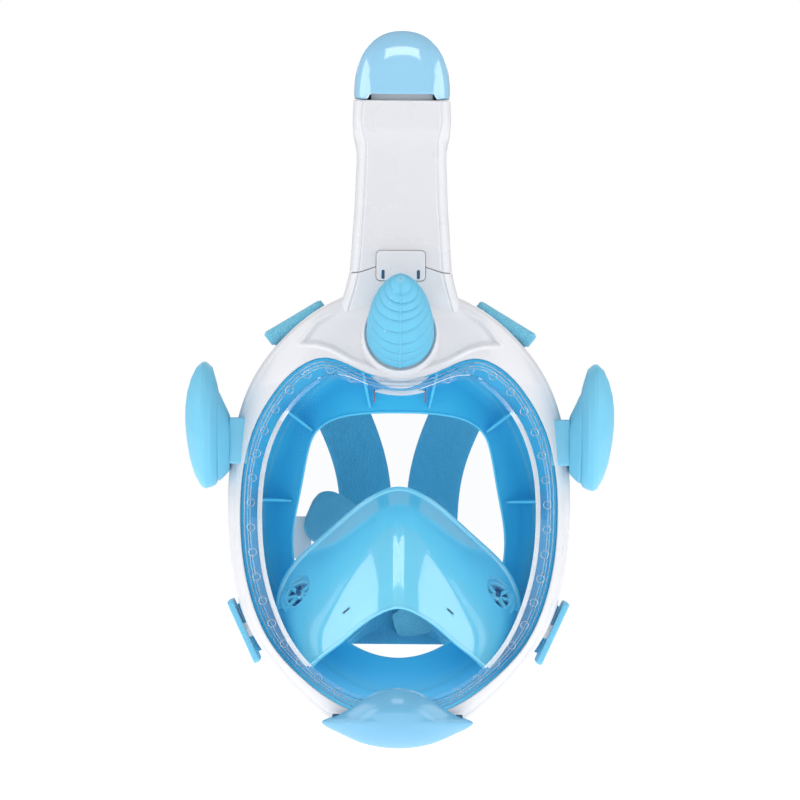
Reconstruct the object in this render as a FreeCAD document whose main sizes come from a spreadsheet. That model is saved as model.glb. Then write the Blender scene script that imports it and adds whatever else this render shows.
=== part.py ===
import FreeCAD, Part
import math
import os
import Sketcher

# Children's full-face snorkel mask with a folding dry-top snorkel.
# Millimetres. -Y is forward, Z is up, and X and the names left and right are
# as seen from the front. The origin is the middle of the plane that the face
# seal reaches furthest back.

V = FreeCAD.Vector
doc = FreeCAD.newDocument("SnorkelMask")

# ---------------------------------------------------------------- sizes

SIZES = {
    "FrameWidth": 172.0,        # across the white frame
    "WrapRadius": 118.0,        # radius that the frame and lens wrap round the face
    "TopLean": 0.25,            # how fast the forehead slopes back
    "TopLeanStart": 75.0,       # height where that slope begins
    "SealWrap": 0.9,            # how much the face seal follows the wrap
    "LipDepth": -81.0,          # front lip of the frame on the centre line
    "LensDepth": -87.2,         # front of the lens on the centre line
    "LensWall": 2.2,
    "FrameWall": 2.4,
    "SkirtWall": 2.4,
    "NeckTop": 133.0,           # top of the snorkel socket
    "TubeLean": 12.0,           # degrees back from upright
    "TubeWall": 2.2,
    "PivotRadius": 1.6,         # the pin that the snorkel folds on
    "PivotLength": 33.0,
    "KnuckleRadius": 3.3,       # of the hinge round that pin
    "LugMiddle": 14.0,          # the frame's two hinge lugs, either side
    "LugWidth": 4.4,
    "TubeKnuckle": 22.6,        # length of the tube's knuckle between them
    "RunningGap": 0.05,
    "SeatRadius": 8.5,
    "SeatThick": 1.6,
    "SpokeWidth": 1.5,
    "HubRadius": 2.2,
    "StemRadius": 0.85,
    "FlapRadius": 7.6,
    "FlapThick": 0.5,
    "StemLength": 5.2,
    "BulbRadius": 1.3,
    "BulbLength": 1.6,
    "FloatRadius": 10.0,
    "FloatHeight": 8.0,
    "CagePost": 1.1,
    "CagePostHeight": 17.5,
    "CageRing": 13.0,
    "CageThick": 1.6,
    "SealRingOuter": 13.0,
    "SealRingInner": 7.0,
    "SealRingThick": 2.0,
    "LatchWidth": 24.4,
    "LatchHeight": 15.0,
    "LatchThick": 2.6,
    "SpringRadius": 2.6,
    "SpringWire": 0.5,
    "SpringLength": 3.2,
    "HornRadius": 16.7,
    "HornLength": 55.0,
    "HornPostRadius": 5.0,
    "HornPostLength": 24.0,
    "StrapWidth": 28.0,
    "StrapThick": 2.0,
    "AnchorLength": 38.0,
    "AnchorWidth": 9.5,
    "AnchorThick": 4.0,
    "AnchorSlotLength": 32.0,
    "AnchorSlotWidth": 3.6,
    "ClipLength": 34.0,
    "ClipReach": 34.0,
    "ClipThick": 3.2,
    "ClipPinRadius": 1.0,
    "ClipPinLength": 30.0,
    "ClipSlotLength": 29.0,
    "ClipSlotWidth": 3.4,
    "EarPegRadius": 4.5,
    "EarPegLength": 9.0,
    "ScrewRadius": 1.2,
    "ScrewLength": 9.0,
    "ScrewHeadRadius": 2.3,
    "ScrewHeadHeight": 1.8,
}

sheet = doc.addObject("Spreadsheet::Sheet", "Sizes")
for row, (alias, value) in enumerate(SIZES.items(), start=1):
    sheet.set(f"A{row}", alias)
    sheet.set(f"B{row}", str(value))
    sheet.setAlias(f"B{row}", alias)
doc.recompute()


def size(alias):
    return float(sheet.get(alias))


# Half outlines in the front view, from the top of the centre line down to its
# bottom, as (x, z) at a frame width of 172 mm. Points with the same index lie
# on the same spoke, so the rings between two outlines don't twist.
FRAME_EDGE = [(0, 121), (17, 120.8), (33, 116), (50, 105), (64, 91), (75, 74), (82, 54),
              (85.6, 31), (86, 8), (84.2, -17), (79, -39), (69, -58), (54, -76), (32, -94),
              (0, -104)]
LENS_HOLE = [(0, 77), (12, 78.3), (25, 83.5), (38, 87.2), (51, 82), (63, 69.5), (72, 54),
             (78, 33), (79.6, 8), (78, -14), (72.5, -37), (63, -56), (49, -71), (27, -86),
             (0, -92)]
LENS_FACE = [(0, 70), (12, 71.8), (24, 76.5), (35, 78), (46, 72), (56, 61), (63.5, 47),
             (68.3, 29), (69.6, 8), (68, -14), (62.5, -36), (54, -54), (41, -69), (22, -80),
             (0, -84)]
SEAL_EDGE = [(0, 92), (14, 91), (28, 86), (42, 77), (53, 66), (61, 53), (67, 38), (71, 22),
             (72, 5), (70.5, -12), (66.5, -30), (59, -47), (46, -64), (26, -79), (0, -86)]
FACE_OPENING = [(0, 60), (12, 59.8), (24, 58.6), (35, 55.5), (42.5, 49.5), (46, 41),
                (48.2, 30), (50.8, 16), (53.3, 2), (53.5, -12), (50.5, -26), (44, -39),
                (33, -50.5), (17, -60.5), (0, -64)]
CHIN_EDGE = [(0, -77), (9, -78.8), (19, -84), (29, -90.5), (37.5, -94.5), (29, -100),
             (18, -104.8), (8, -107), (0, -107.5)]
SEAL_HALF_WIDTH = 72.0


# ------------------------------------------------------- shape functions

def smooth_outline(half):
    """Two points for each span of the smooth closed curve through a half outline."""
    scale = size("FrameWidth") / 172.0
    right = [V(x * scale, 0, z * scale) for x, z in half]
    curve = Part.BSplineCurve()
    curve.interpolate(Points=right + [V(-p.x, 0, p.z) for p in reversed(right[1:-1])],
                      PeriodicFlag=True)
    knots = curve.getKnots()
    spans = [(a, (a + b) / 2) for a, b in zip(knots, knots[1:])]
    return [(curve.value(u).x, curve.value(u).z) for span in spans for u in span]


def outline(half, grow=0.0):
    """The closed outline of a half outline, moved outwards by grow."""
    closed = smooth_outline(half)
    moved = []
    for i, (x, z) in enumerate(closed):
        before, after = closed[i - 1], closed[(i + 1) % len(closed)]
        along = V(after[0] - before[0], 0, after[1] - before[1]).normalize()
        moved.append((x - along.z * grow, z + along.x * grow))
    return moved


def shrunk(half, factor, middle_z):
    """The closed outline of a half outline, drawn in towards its middle."""
    return [(x * factor, middle_z + (z - middle_z) * factor) for x, z in smooth_outline(half)]


def wrap(x):
    """How far back the frame has curved at a distance x from the middle."""
    radius = size("WrapRadius")
    return radius - math.sqrt(radius**2 - x**2)


def front_depth(depth):
    """Depth of a front ring that is at depth on the centre line."""
    lean, start = size("TopLean"), size("TopLeanStart")
    return lambda x, z: depth + wrap(x) + lean * max(0.0, z - start)


def seal_depth(offset):
    """Depth of a ring near the face, which touches Y = 0 at its sides."""
    gain = size("SealWrap")
    return lambda x, z: offset + gain * (wrap(x) - wrap(SEAL_HALF_WIDTH))


def ring_edge(points, depth):
    """A smooth closed edge through an outline at the depths given."""
    curve = Part.BSplineCurve()
    curve.interpolate(Points=[V(x, depth(x, z), z) for x, z in points], PeriodicFlag=True)
    return curve.toShape()


def solid_from(faces):
    """The solid that a closed set of faces bounds."""
    shell = Part.Shell(faces)
    shell.sewShape()
    solid = Part.Solid(shell)
    if solid.Volume < 0:
        solid.reverse()
    return solid


def ring_solid(profile):
    """A closed ring whose section has one corner for each (outline, depth)."""
    edges = [ring_edge(points, depth) for points, depth in profile]
    pairs = zip(edges, edges[1:] + edges[:1])
    return solid_from([Part.makeRuledSurface(a, b) for a, b in pairs])


def prism(points, front=-160.0, back=60.0):
    """A prism along Y over an outline."""
    edge = ring_edge(points, lambda x, z: front)
    return Part.Face(Part.Wire(edge)).extrude(V(0, back - front, 0))


def wrapped_plate(points, front, thick):
    """A plate over an outline that curves round the face."""
    radius, reach = size("WrapRadius"), 400.0
    axis_point = V(0, front + radius, -reach / 2)
    outer = Part.makeCylinder(radius, reach, axis_point)
    inner = Part.makeCylinder(radius - thick, reach, axis_point)
    forward_half = Part.makeBox(400, 150, reach, V(-200, front - 5, -reach / 2))
    return prism(points).common(outer.cut(inner).common(forward_half))


def rounded_section(width, depth, radius, centre_y, height, lean=0.0):
    """A rounded rectangle across the snorkel, leaning back with it."""
    a, b = width / 2, depth / 2
    r = min(radius, a - 0.5, b - 0.5)
    k = r * (1 - math.sqrt(0.5))
    tilt = math.tan(math.radians(lean))

    def at(x, y):
        return V(x, centre_y + y, height - y * tilt)

    corners = [((a - r, -b), (a - k, -b + k), (a, -b + r)), ((a, b - r), (a - k, b - k), (a - r, b)),
               ((-a + r, b), (-a + k, b - k), (-a, b - r)),
               ((-a, -b + r), (-a + k, -b + k), (-a + r, -b))]
    edges = []
    for i, (start, middle, end) in enumerate(corners):
        edges.append(Part.Arc(at(*start), at(*middle), at(*end)).toShape())
        edges.append(Part.makeLine(at(*end), at(*corners[(i + 1) % 4][0])))
    return Part.Wire(edges)


def local_frame(base, out, along=None):
    """A placement whose Z points along out and whose X is nearest to along."""
    out = V(*out).normalize()
    along = V(*along) if along else V(1, 0, 0)
    return FreeCAD.Placement(V(*base), FreeCAD.Rotation(along, V(0, 0, 0), out, "ZXY"))


# --------------------------------------------------- document functions

subparts = []


def publish(obj, label, placement=None):
    """Names a finished sub-part and puts it in its place."""
    obj.Label = label
    if placement is not None:
        obj.Placement = placement
    subparts.append(obj)
    return obj


def feature(label, shape, placement=None):
    """A sub-part whose shape is made with Part's own functions."""
    obj = doc.addObject("Part::Feature", label)
    obj.Shape = shape
    return publish(obj, label, placement)


def cylinder(radius, height, base=(0, 0, 0)):
    """A Part cylinder along Z with its sizes bound to the sheet."""
    obj = doc.addObject("Part::Cylinder", "Cylinder")
    obj.setExpression("Radius", radius)
    obj.setExpression("Height", height)
    obj.Placement.Base = V(*base)
    return obj


def fused(parts):
    obj = doc.addObject("Part::MultiFuse", "Fusion")
    obj.Shapes = parts
    return obj


def cut_away(base, tool):
    obj = doc.addObject("Part::Cut", "Cut")
    obj.Base = base
    obj.Tool = tool
    return obj


def new_body(label):
    body = doc.addObject("PartDesign::Body", label)
    return body


def sketch_on(body, name, offset=(0, 0, 0)):
    """A sketch on the body's own XY plane, moved by offset."""
    sketch = body.newObject("Sketcher::SketchObject", name)
    plane = next(f for f in body.Origin.OriginFeatures if f.Role == "XY_Plane")
    sketch.AttachmentSupport = [(plane, "")]
    sketch.MapMode = "FlatFace"
    sketch.AttachmentOffset = FreeCAD.Placement(V(*offset), FreeCAD.Rotation())
    return sketch


def draw_circle(sketch, radius):
    circle = sketch.addGeometry(Part.Circle(V(0, 0, 0), V(0, 0, 1), 5.0))
    sketch.addConstraint(Sketcher.Constraint("Coincident", circle, 3, -1, 1))
    index = sketch.addConstraint(Sketcher.Constraint("Radius", circle, 5.0))
    sketch.setExpression(f"Constraints[{index}]", radius)


def draw_rectangle(sketch, width, height):
    """A rectangle centred on the sketch's origin."""
    corners = [V(-4, -2, 0), V(4, -2, 0), V(4, 2, 0), V(-4, 2, 0)]
    sides = [sketch.addGeometry(Part.LineSegment(corners[i], corners[(i + 1) % 4]))
             for i in range(4)]
    for i in range(4):
        sketch.addConstraint(Sketcher.Constraint("Coincident", sides[i], 2, sides[(i + 1) % 4], 1))
    for i in range(4):
        sketch.addConstraint(Sketcher.Constraint("Vertical" if i % 2 else "Horizontal", sides[i]))
    sketch.addConstraint(Sketcher.Constraint("Symmetric", sides[0], 1, sides[2], 1, -1, 1))
    index = sketch.addConstraint(Sketcher.Constraint("DistanceX", sides[0], 1, sides[0], 2, 8.0))
    sketch.setExpression(f"Constraints[{index}]", width)
    index = sketch.addConstraint(Sketcher.Constraint("DistanceY", sides[1], 1, sides[1], 2, 4.0))
    sketch.setExpression(f"Constraints[{index}]", height)


def pad(body, name, sketch, length, both_ways=False):
    made = body.newObject("PartDesign::Pad", name)
    made.Profile = sketch
    made.setExpression("Length", length)
    made.Midplane = both_ways
    return made


def pocket(body, name, sketch, length):
    """A pocket that cuts the same distance both ways from its sketch."""
    made = body.newObject("PartDesign::Pocket", name)
    made.Profile = sketch
    made.setExpression("Length", length)
    made.Midplane = True
    return made


# ------------------------------------------------- frame, lens and skirt

SIDES = (("left", -1), ("right", 1))
HORN_BASE = (0, -73.0, 99.0)
HORN_OUT = (0, -0.872, 0.489)
HORN_SEAT = 5.2
NECK_CENTRE_Y = -52.0
NECK_DEPTH = 36.0
BORE_CENTRE_Y = -50.0
LATCH_HEIGHT_Z = 133.4
LATCH_FACE_Y = -69.6
PIVOT = (0, -29.8, 134.6)
CLIP_EDGE = V(14.5, 0, 31.5)
CLIP_MIDDLE = (76.4, -26.5, -50.0)
CLIP_PIN_BACK = 12.8
CLIP_LUG = (7.6, 4.0, 7.6)
# Screws that join the two frames, as (x, z) and the radius of the rear tab.
SCREWS = [(40, 104.0, 6.5), (-40, 104.0, 6.5), (20, -93.6, 3.9), (-20, -93.6, 3.9)]
TAB_BACK = 24.0
BOSS_RADIUS = 2.4
CHIN_VALVE = (0, -89.3, -91.0)


def clip_placement(side):
    """The lower clip lies along the frame's edge; local Z points outwards."""
    edge = V(CLIP_EDGE).normalize()
    out = V(side * edge.z, 0, -edge.x)
    x, y, z = CLIP_MIDDLE
    rotation = FreeCAD.Rotation(V(0, 0, 0), V(0, 1, 0), out, "ZYX")
    return FreeCAD.Placement(V(side * x, y, z), rotation)


def make_front_frame():
    wall, lip = size("FrameWall"), size("LipDepth")
    shell = ring_solid([
        (outline(FRAME_EDGE), front_depth(lip + 21)),
        (outline(FRAME_EDGE), front_depth(lip + 7)),
        (outline(FRAME_EDGE, -2.5), front_depth(lip + 3)),
        (outline(LENS_HOLE), front_depth(lip)),
        (outline(LENS_HOLE), front_depth(lip + wall)),
        (outline(FRAME_EDGE, -wall - 0.2), front_depth(lip + 6)),
        (outline(FRAME_EDGE, -wall), front_depth(lip + 9)),
        (outline(FRAME_EDGE, -wall), front_depth(lip + 21)),
    ])
    neck = Part.makeLoft([
        rounded_section(60, 34, 13, NECK_CENTRE_Y - 2.0, 98),
        rounded_section(58, 36, 13, NECK_CENTRE_Y - 1.0, 114),
        rounded_section(53, 36, 13, NECK_CENTRE_Y, 125),
        rounded_section(51, NECK_DEPTH, 13, NECK_CENTRE_Y, size("NeckTop")),
    ], True)
    bore = Part.makeLoft([
        rounded_section(43, 24, 9, BORE_CENTRE_Y, 90),
        rounded_section(43, 24, 9, BORE_CENTRE_Y, size("NeckTop") + 2),
    ], True)
    horn_frame = local_frame(HORN_BASE, HORN_OUT)
    seat_radius = size("HornRadius") + 0.9
    below, above = 7.0, 7.0
    collar = Part.makeCylinder(seat_radius + 2.0, below + above, V(0, 0, -below))
    collar = collar.cut(Part.makeCylinder(seat_radius, below + above, V(0, 0, -below)))
    post = Part.makeCylinder(size("HornPostRadius"), size("HornPostLength") + 6, V(0, 0, -6))
    front_of_forehead = prism(outline(FRAME_EDGE, -4)).cut(behind_forehead())
    for piece in (collar, post):
        piece.Placement = horn_frame
    horn_seat = Part.makeCylinder(seat_radius, 30, V(0, 0, HORN_SEAT))
    horn_seat.Placement = horn_frame
    shell = shell.fuse([neck, collar.common(front_of_forehead)]).cut(horn_seat)
    shell = shell.fuse(post.common(front_of_forehead))
    bosses = []
    for x, z, tab in SCREWS:
        start = front_depth(lip + 3)(x, z)
        bosses.append(Part.makeCylinder(BOSS_RADIUS, TAB_BACK - 3.4, V(x, start, z), V(0, 1, 0)))
    lugs = []
    for name, side in SIDES:
        lug = Part.makeBox(*CLIP_LUG, V(-CLIP_LUG[0] / 2, -CLIP_PIN_BACK - CLIP_LUG[1] / 2, -4.4))
        lug.Placement = clip_placement(side)
        lugs += [lug] + hinge_lug(side)
    shell = shell.fuse(bosses + lugs)
    holes = [bore, latch_recess(0.4)]
    for x, z, tab in SCREWS:
        start = front_depth(lip + TAB_BACK - 10.4)(x, z)
        holes.append(Part.makeCylinder(size("ScrewRadius") + 0.05, 12.0, V(x, start, z),
                                       V(0, 1, 0)))
    pin = Part.makeCylinder(size("PivotRadius") + size("RunningGap"), 60, V(-30, PIVOT[1], PIVOT[2]),
                            V(1, 0, 0))
    holes.append(pin)
    for name, side in SIDES:
        clip_pin = Part.makeCylinder(size("ClipPinRadius") + size("RunningGap"), 40,
                                     V(-20, -CLIP_PIN_BACK, size("ClipThick") / 2), V(1, 0, 0))
        clip_pin.Placement = clip_placement(side)
        holes.append(clip_pin)
    return shell.cut(holes).removeSplitter()


def hinge_lug(side):
    """One lug that carries the snorkel's pin: its knuckle, arm and web."""
    width = size("LugWidth")
    near = side * size("LugMiddle") - width / 2
    knuckle = Part.makeCylinder(size("KnuckleRadius"), width, V(near, PIVOT[1], PIVOT[2]),
                                V(1, 0, 0))
    arm = Part.makeBox(width, 7.5, 6.0, V(near, PIVOT[1] - 7.0, PIVOT[2] - 9.0))
    web = Part.makeBox(width, 3.3, 6.0, V(near, PIVOT[1] - 1.6, PIVOT[2] - 6.0))
    return [knuckle, arm, web]


def behind_forehead():
    """Everything behind the middle of the forehead wall."""
    back = front_depth(size("LipDepth") + 1.2)
    half_width = 45.0
    low, high = 60.0, 121.0
    points = [V(-half_width, back(0, low), low), V(-half_width, back(0, high), high),
              V(-half_width, 60, high), V(-half_width, 60, low)]
    face = Part.Face(Part.makePolygon(points + points[:1]))
    return face.extrude(V(2 * half_width, 0, 0))


def latch_recess(extra):
    """The slot for the latch, open at the front, across socket and tube."""
    width, height = size("LatchWidth") + 2 * extra, size("LatchHeight") + 2 * extra
    deep, ahead = 6.3, 10.0
    return Part.makeBox(width, deep + ahead, height,
                        V(-width / 2, LATCH_FACE_Y - ahead, LATCH_HEIGHT_Z - height / 2))


def make_rear_frame():
    lip, wall = size("LipDepth"), size("FrameWall")
    ring = ring_solid([
        (outline(FRAME_EDGE, -0.4), front_depth(lip + 21.6)),
        (outline(FRAME_EDGE, -0.4), front_depth(lip + 31)),
        (outline(FRAME_EDGE, -3.0), front_depth(lip + 35)),
        (outline(FRAME_EDGE, -5.0), front_depth(lip + 35)),
        (outline(FRAME_EDGE, -5.0), front_depth(lip + 33)),
        (outline(FRAME_EDGE, -0.4 - wall), front_depth(lip + 30)),
        (outline(FRAME_EDGE, -0.4 - wall), front_depth(lip + 21.6)),
    ])
    tabs = []
    for x, z, tab in SCREWS:
        depth = front_depth(lip + TAB_BACK)(x, z)
        tabs.append(Part.makeCylinder(tab, wall, V(x, depth, z), V(0, 1, 0)))
    ring = ring.fuse(tabs)
    neck_space, low = 64.0, 88.0
    holes = [Part.makeBox(neck_space, 60, 60, V(-neck_space / 2, -80, low))]
    for x, z, tab in SCREWS:
        depth = front_depth(lip + TAB_BACK)(x, z)
        holes.append(Part.makeCylinder(size("ScrewRadius") + 0.3, 6.0, V(x, depth - 2, z),
                                       V(0, 1, 0)))
    for name, side in SIDES:
        lug_space = Part.makeBox(8.6, 5.0, 8.2, V(-4.3, -CLIP_PIN_BACK - 2.5, -4.9))
        lug_space.Placement = clip_placement(side)
        holes.append(lug_space)
    return ring.cut(holes)


def make_lens():
    wall, front = size("LensWall"), size("LensDepth")
    flange = size("LipDepth") + 4.8
    tray = ring_solid([
        (outline(LENS_HOLE, 1.8), front_depth(flange)),
        (outline(LENS_HOLE, -1.2), front_depth(flange)),
        (outline(LENS_FACE), front_depth(front + 0.2)),
        (outline(LENS_FACE, -2.8), front_depth(front)),
        (outline(LENS_FACE, -2.8), front_depth(front + wall)),
        (outline(LENS_FACE, -2.2), front_depth(front + wall + 0.2)),
        (outline(LENS_HOLE, -3.2), front_depth(flange + 2.0)),
        (outline(LENS_HOLE, 1.8), front_depth(flange + 2.0)),
    ])
    plate = wrapped_plate(outline(LENS_FACE, -1.2), front + 0.4, wall - 0.7)
    drain = Part.makeCylinder(4.4, 30, V(0, -100, CHIN_VALVE[2] + 2.0), V(0, 1, 0))
    return tray.fuse(plate).cut(drain)


def make_face_skirt():
    wall = size("SkirtWall")
    front = size("LipDepth") + 7.4
    return ring_solid([
        (outline(LENS_HOLE, 1.8), front_depth(front)),
        (outline(LENS_HOLE, 1.8), front_depth(front + 7)),
        (outline(SEAL_EDGE), seal_depth(0)),
        (outline(SEAL_EDGE, -7.0), seal_depth(-0.6)),
        (outline(FACE_OPENING), seal_depth(-9.0)),
        (outline(FACE_OPENING), seal_depth(-9.0 - wall)),
        (outline(SEAL_EDGE, -8.0), seal_depth(-0.6 - wall)),
        (outline(SEAL_EDGE, -wall), seal_depth(-wall - 0.8)),
        (outline(LENS_HOLE, 1.8 - wall), front_depth(front + 7)),
        (outline(LENS_HOLE, 1.8 - wall), front_depth(front)),
    ])


# Stations of the nose and mouth pocket, from its face edge forward to the lip
# behind the lens: half arcs from the side up to the middle, as (x, y, z).
POCKET_ARCS = [
    [(47, -28, -57), (55.5, -25, -43), (46, -25, -25), (31, -29, -6), (14, -33, 12), (0, -35, 21)],
    [(49, -42, -60), (53, -42, -46), (44, -44, -31), (29, -49, -15), (13, -53, 0), (0, -55, 6)],
    [(49, -56, -64), (48, -58, -53), (38, -63, -43), (26, -67, -31), (12, -70, -20),
     (0, -71, -15)],
    [(44, -70, -66), (37.5, -73, -60.5), (29, -76, -54), (19, -79, -45.5), (9, -81.5, -39.5),
     (0, -82.3, -37)],
]
INHALE_AT = (49.0, -35.0, -33.0)
INHALE_OUT = (0.42, -0.72, 0.55)


def pocket_section(arc, thick):
    """A closed section of the pocket's wall, thick towards the face."""
    whole = [V(-x, y, z) for x, y, z in arc[:-1]] + [V(x, y, z) for x, y, z in reversed(arc)]
    inner = [V(p.x * (1 - thick / 60.0), p.y + thick * 0.6, p.z - thick) for p in whole]
    edges = []
    for points in (whole, inner):
        curve = Part.BSplineCurve()
        curve.interpolate(points)
        edges.append(curve.toShape())
    ends = [Part.makeLine(whole[0], inner[0]), Part.makeLine(whole[-1], inner[-1])]
    return edges, ends


def make_nose_pocket():
    thick, boss_radius, boss_height = 2.0, 11.5, 3.4
    sections = [pocket_section(arc, thick) for arc in POCKET_ARCS]
    faces = []
    for (edges_a, ends_a), (edges_b, ends_b) in zip(sections, sections[1:]):
        for a, b in zip(edges_a + ends_a, edges_b + ends_b):
            faces.append(Part.makeRuledSurface(a, b))
    for edges, ends in (sections[0], sections[-1]):
        faces.append(Part.makeRuledSurface(*edges))
    shell = solid_from(faces)
    bosses, holes = [], []
    for name, side in SIDES:
        place = inhale_placement(side)
        boss = Part.makeCylinder(boss_radius, boss_height, V(0, 0, 1.0 - boss_height))
        hole = Part.makeCylinder(size("SeatRadius") + 0.3, 60, V(0, 0, -20))
        boss.Placement = place
        hole.Placement = place
        bosses.append(boss)
        holes.append(hole)
    return shell.fuse(bosses).cut(holes)


def inhale_placement(side):
    """The seat of one inhale valve; local Z points out of the pocket."""
    x, y, z = INHALE_AT
    out_x, out_y, out_z = INHALE_OUT
    return local_frame((side * x, y, z), (side * out_x, out_y, out_z))


feature("front_frame", make_front_frame())
feature("rear_frame", make_rear_frame())
feature("lens", make_lens())
feature("face_skirt", make_face_skirt())
feature("nose_pocket", make_nose_pocket())


# --------------------------------------------------------------- valves

def spoked_seat(label, placement):
    """A valve seat: a rim, two crossed spokes and a hub with the stem's hole."""
    body = new_body(label)
    rim = sketch_on(body, f"{label}_rim")
    draw_circle(rim, "Sizes.SeatRadius")
    draw_circle(rim, "Sizes.SeatRadius - 1.6")
    pad(body, f"{label}_rim_pad", rim, "Sizes.SeatThick")
    bar = sketch_on(body, f"{label}_bar")
    draw_rectangle(bar, "2 * Sizes.SeatRadius - 1.2", "Sizes.SpokeWidth")
    spoke = pad(body, f"{label}_spoke", bar, "Sizes.SeatThick")
    cross = body.newObject("PartDesign::PolarPattern", f"{label}_cross")
    cross.Originals = [spoke]
    cross.Axis = (bar, ["N_Axis"])
    cross.Angle = 180
    cross.Occurrences = 2
    body.Tip = cross
    hub = sketch_on(body, f"{label}_hub")
    draw_circle(hub, "Sizes.HubRadius")
    pad(body, f"{label}_hub_pad", hub, "Sizes.SeatThick")
    hole = sketch_on(body, f"{label}_hole")
    draw_circle(hole, "Sizes.StemRadius + Sizes.RunningGap")
    pocket(body, f"{label}_bore", hole, "4 * Sizes.SeatThick")
    return publish(body, label, placement)


def valve_flap(label, placement):
    """A silicone disc behind the seat, with a stem through it and a bulb."""
    disc = cylinder("Sizes.FlapRadius", "Sizes.FlapThick", (0, 0, -0.06 - size("FlapThick")))
    stem = cylinder("Sizes.StemRadius", "Sizes.StemLength", (0, 0, -0.3))
    bulb = doc.addObject("Part::Cone", f"{label}_bulb")
    bulb.setExpression("Radius1", "Sizes.BulbRadius")
    bulb.Radius2 = 0.6
    bulb.setExpression("Height", "Sizes.BulbLength")
    bulb.Placement.Base = V(0, 0, size("SeatThick") + 1.7)
    return publish(fused([disc, stem, bulb]), label, placement)


for name, side in SIDES:
    spoked_seat(f"inhale_valve_seat_{name}", inhale_placement(side))
    valve_flap(f"inhale_flap_{name}", inhale_placement(side))
drain_place = local_frame(CHIN_VALVE, (0, 1, 0))
spoked_seat("chin_valve_seat", drain_place)
valve_flap("chin_valve_flap", drain_place)


def chin_depth(front):
    """The chin cover's depth: its lower part wraps back under the frame."""
    return lambda x, z: front + 0.9 * wrap(x) + 0.45 * max(0.0, -88.0 - z)


def make_chin_cover():
    wall = 1.6
    rear, face = -88.0, -100.0
    middle = -93.5

    def edge(factor, depth):
        return ring_edge(shrunk(CHIN_EDGE, factor, middle), chin_depth(depth))

    rings = [edge(1.0, rear), edge(1.0, rear - 2.0), edge(0.86, face + 2.5), edge(0.55, face),
             edge(0.5, face + wall), edge(0.8, face + 2.5 + wall), edge(0.93, rear - 1.0),
             edge(0.93, rear)]
    faces = [Part.makeRuledSurface(a, b) for a, b in zip(rings, rings[1:] + rings[:1])]
    walls = solid_from(faces)
    plate = wrapped_plate(shrunk(CHIN_EDGE, 0.54, middle), face + 0.2, wall)
    return walls.fuse(plate)


feature("chin_valve_cover", make_chin_cover())


# -------------------------------------------------------------- snorkel

def tube_axis_y(height):
    """The middle of the tube at a height: it leans back above the socket."""
    rise = max(0.0, height - size("NeckTop"))
    return NECK_CENTRE_Y + math.tan(math.radians(size("TubeLean"))) * rise


TUBE_SECTIONS = [(133.9, 51.0, 36.0), (141.0, 49.6, 34.5), (158.0, 47.0, 32.0),
                 (185.0, 45.0, 31.0), (193.0, 45.4, 31.0), (201.0, 49.0, 34.0),
                 (208.0, 49.6, 34.5), (219.0, 48.6, 34.0)]


def tube_loft(shrink, first_depth=None):
    """The tube's outside, or its inside when shrink is its wall."""
    wires = []
    for height, width, depth in TUBE_SECTIONS:
        lean = size("TubeLean") if height > 150 else 0.0
        wires.append(rounded_section(width - 2 * shrink, depth - 2 * shrink, 12 - shrink,
                                     tube_axis_y(height), height, lean))
    return Part.makeLoft(wires, True, True)


def make_snorkel_tube():
    wall = size("TubeWall")
    outside = tube_loft(0)
    width, deep, high = 30.0, 9.5, 13.5
    foot = Part.makeBox(width, deep, high, V(-width / 2, NECK_CENTRE_Y - 17.2, 133.9))
    hollow = tube_loft(wall)
    length = size("TubeKnuckle")
    knuckle = Part.makeCylinder(size("KnuckleRadius"), length, V(-length / 2, PIVOT[1], PIVOT[2]),
                                V(1, 0, 0))
    arm = Part.makeBox(length, 6.0, 6.4, V(-length / 2, PIVOT[1] - 6.0, PIVOT[2] + 0.2))
    tube = outside.cut(hollow).fuse([foot.common(outside), arm, knuckle])
    pin = Part.makeCylinder(size("PivotRadius") + size("RunningGap"), 60, V(-30, PIVOT[1], PIVOT[2]),
                            V(1, 0, 0))
    return tube.cut([latch_recess(0.4), pin])


feature("snorkel_tube", make_snorkel_tube())
pivot = cylinder("Sizes.PivotRadius", "Sizes.PivotLength")
publish(pivot, "snorkel_pivot",
        local_frame((-size("PivotLength") / 2, PIVOT[1], PIVOT[2]), (1, 0, 0), (0, 1, 0)))


def make_gasket():
    height, top = 7.0, size("NeckTop") + 0.5
    outer = rounded_section(42.7, 23.7, 8.85, BORE_CENTRE_Y, top - height)
    inner = rounded_section(40.3, 21.3, 7.65, BORE_CENTRE_Y, top - height)
    ring = Part.Face(outer).cut(Part.Face(inner))
    return ring.extrude(V(0, 0, height))


feature("socket_gasket", make_gasket())

latch = new_body("tube_latch")
plate = sketch_on(latch, "latch_plate")
draw_rectangle(plate, "Sizes.LatchWidth", "Sizes.LatchHeight")
pad(latch, "latch_pad", plate, "Sizes.LatchThick")
grip = sketch_on(latch, "latch_grip", (0, 4.0, 0))
draw_rectangle(grip, "Sizes.LatchWidth - 8", "1.2")
pad(latch, "latch_ridge", grip, "Sizes.LatchThick + 0.5")
publish(latch, "tube_latch",
        FreeCAD.Placement(V(0, LATCH_FACE_Y + size("LatchThick"), LATCH_HEIGHT_Z),
                          FreeCAD.Rotation(V(1, 0, 0), V(0, 0, 1), V(0, -1, 0), "XYZ")))
coil = cut_away(cylinder("Sizes.SpringRadius", "Sizes.SpringLength"),
                cylinder("Sizes.SpringRadius - Sizes.SpringWire * 2", "Sizes.SpringLength"))
publish(coil, "latch_spring",
        local_frame((0, LATCH_FACE_Y + size("LatchThick") + 0.1, LATCH_HEIGHT_Z - 3.6), (0, 1, 0)))


# The dry top stands on the tube's own leaning axis.
TOP_PLACE = local_frame((0, tube_axis_y(196.0), 196.0),
                        (0, math.sin(math.radians(size("TubeLean"))),
                         math.cos(math.radians(size("TubeLean")))))


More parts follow.
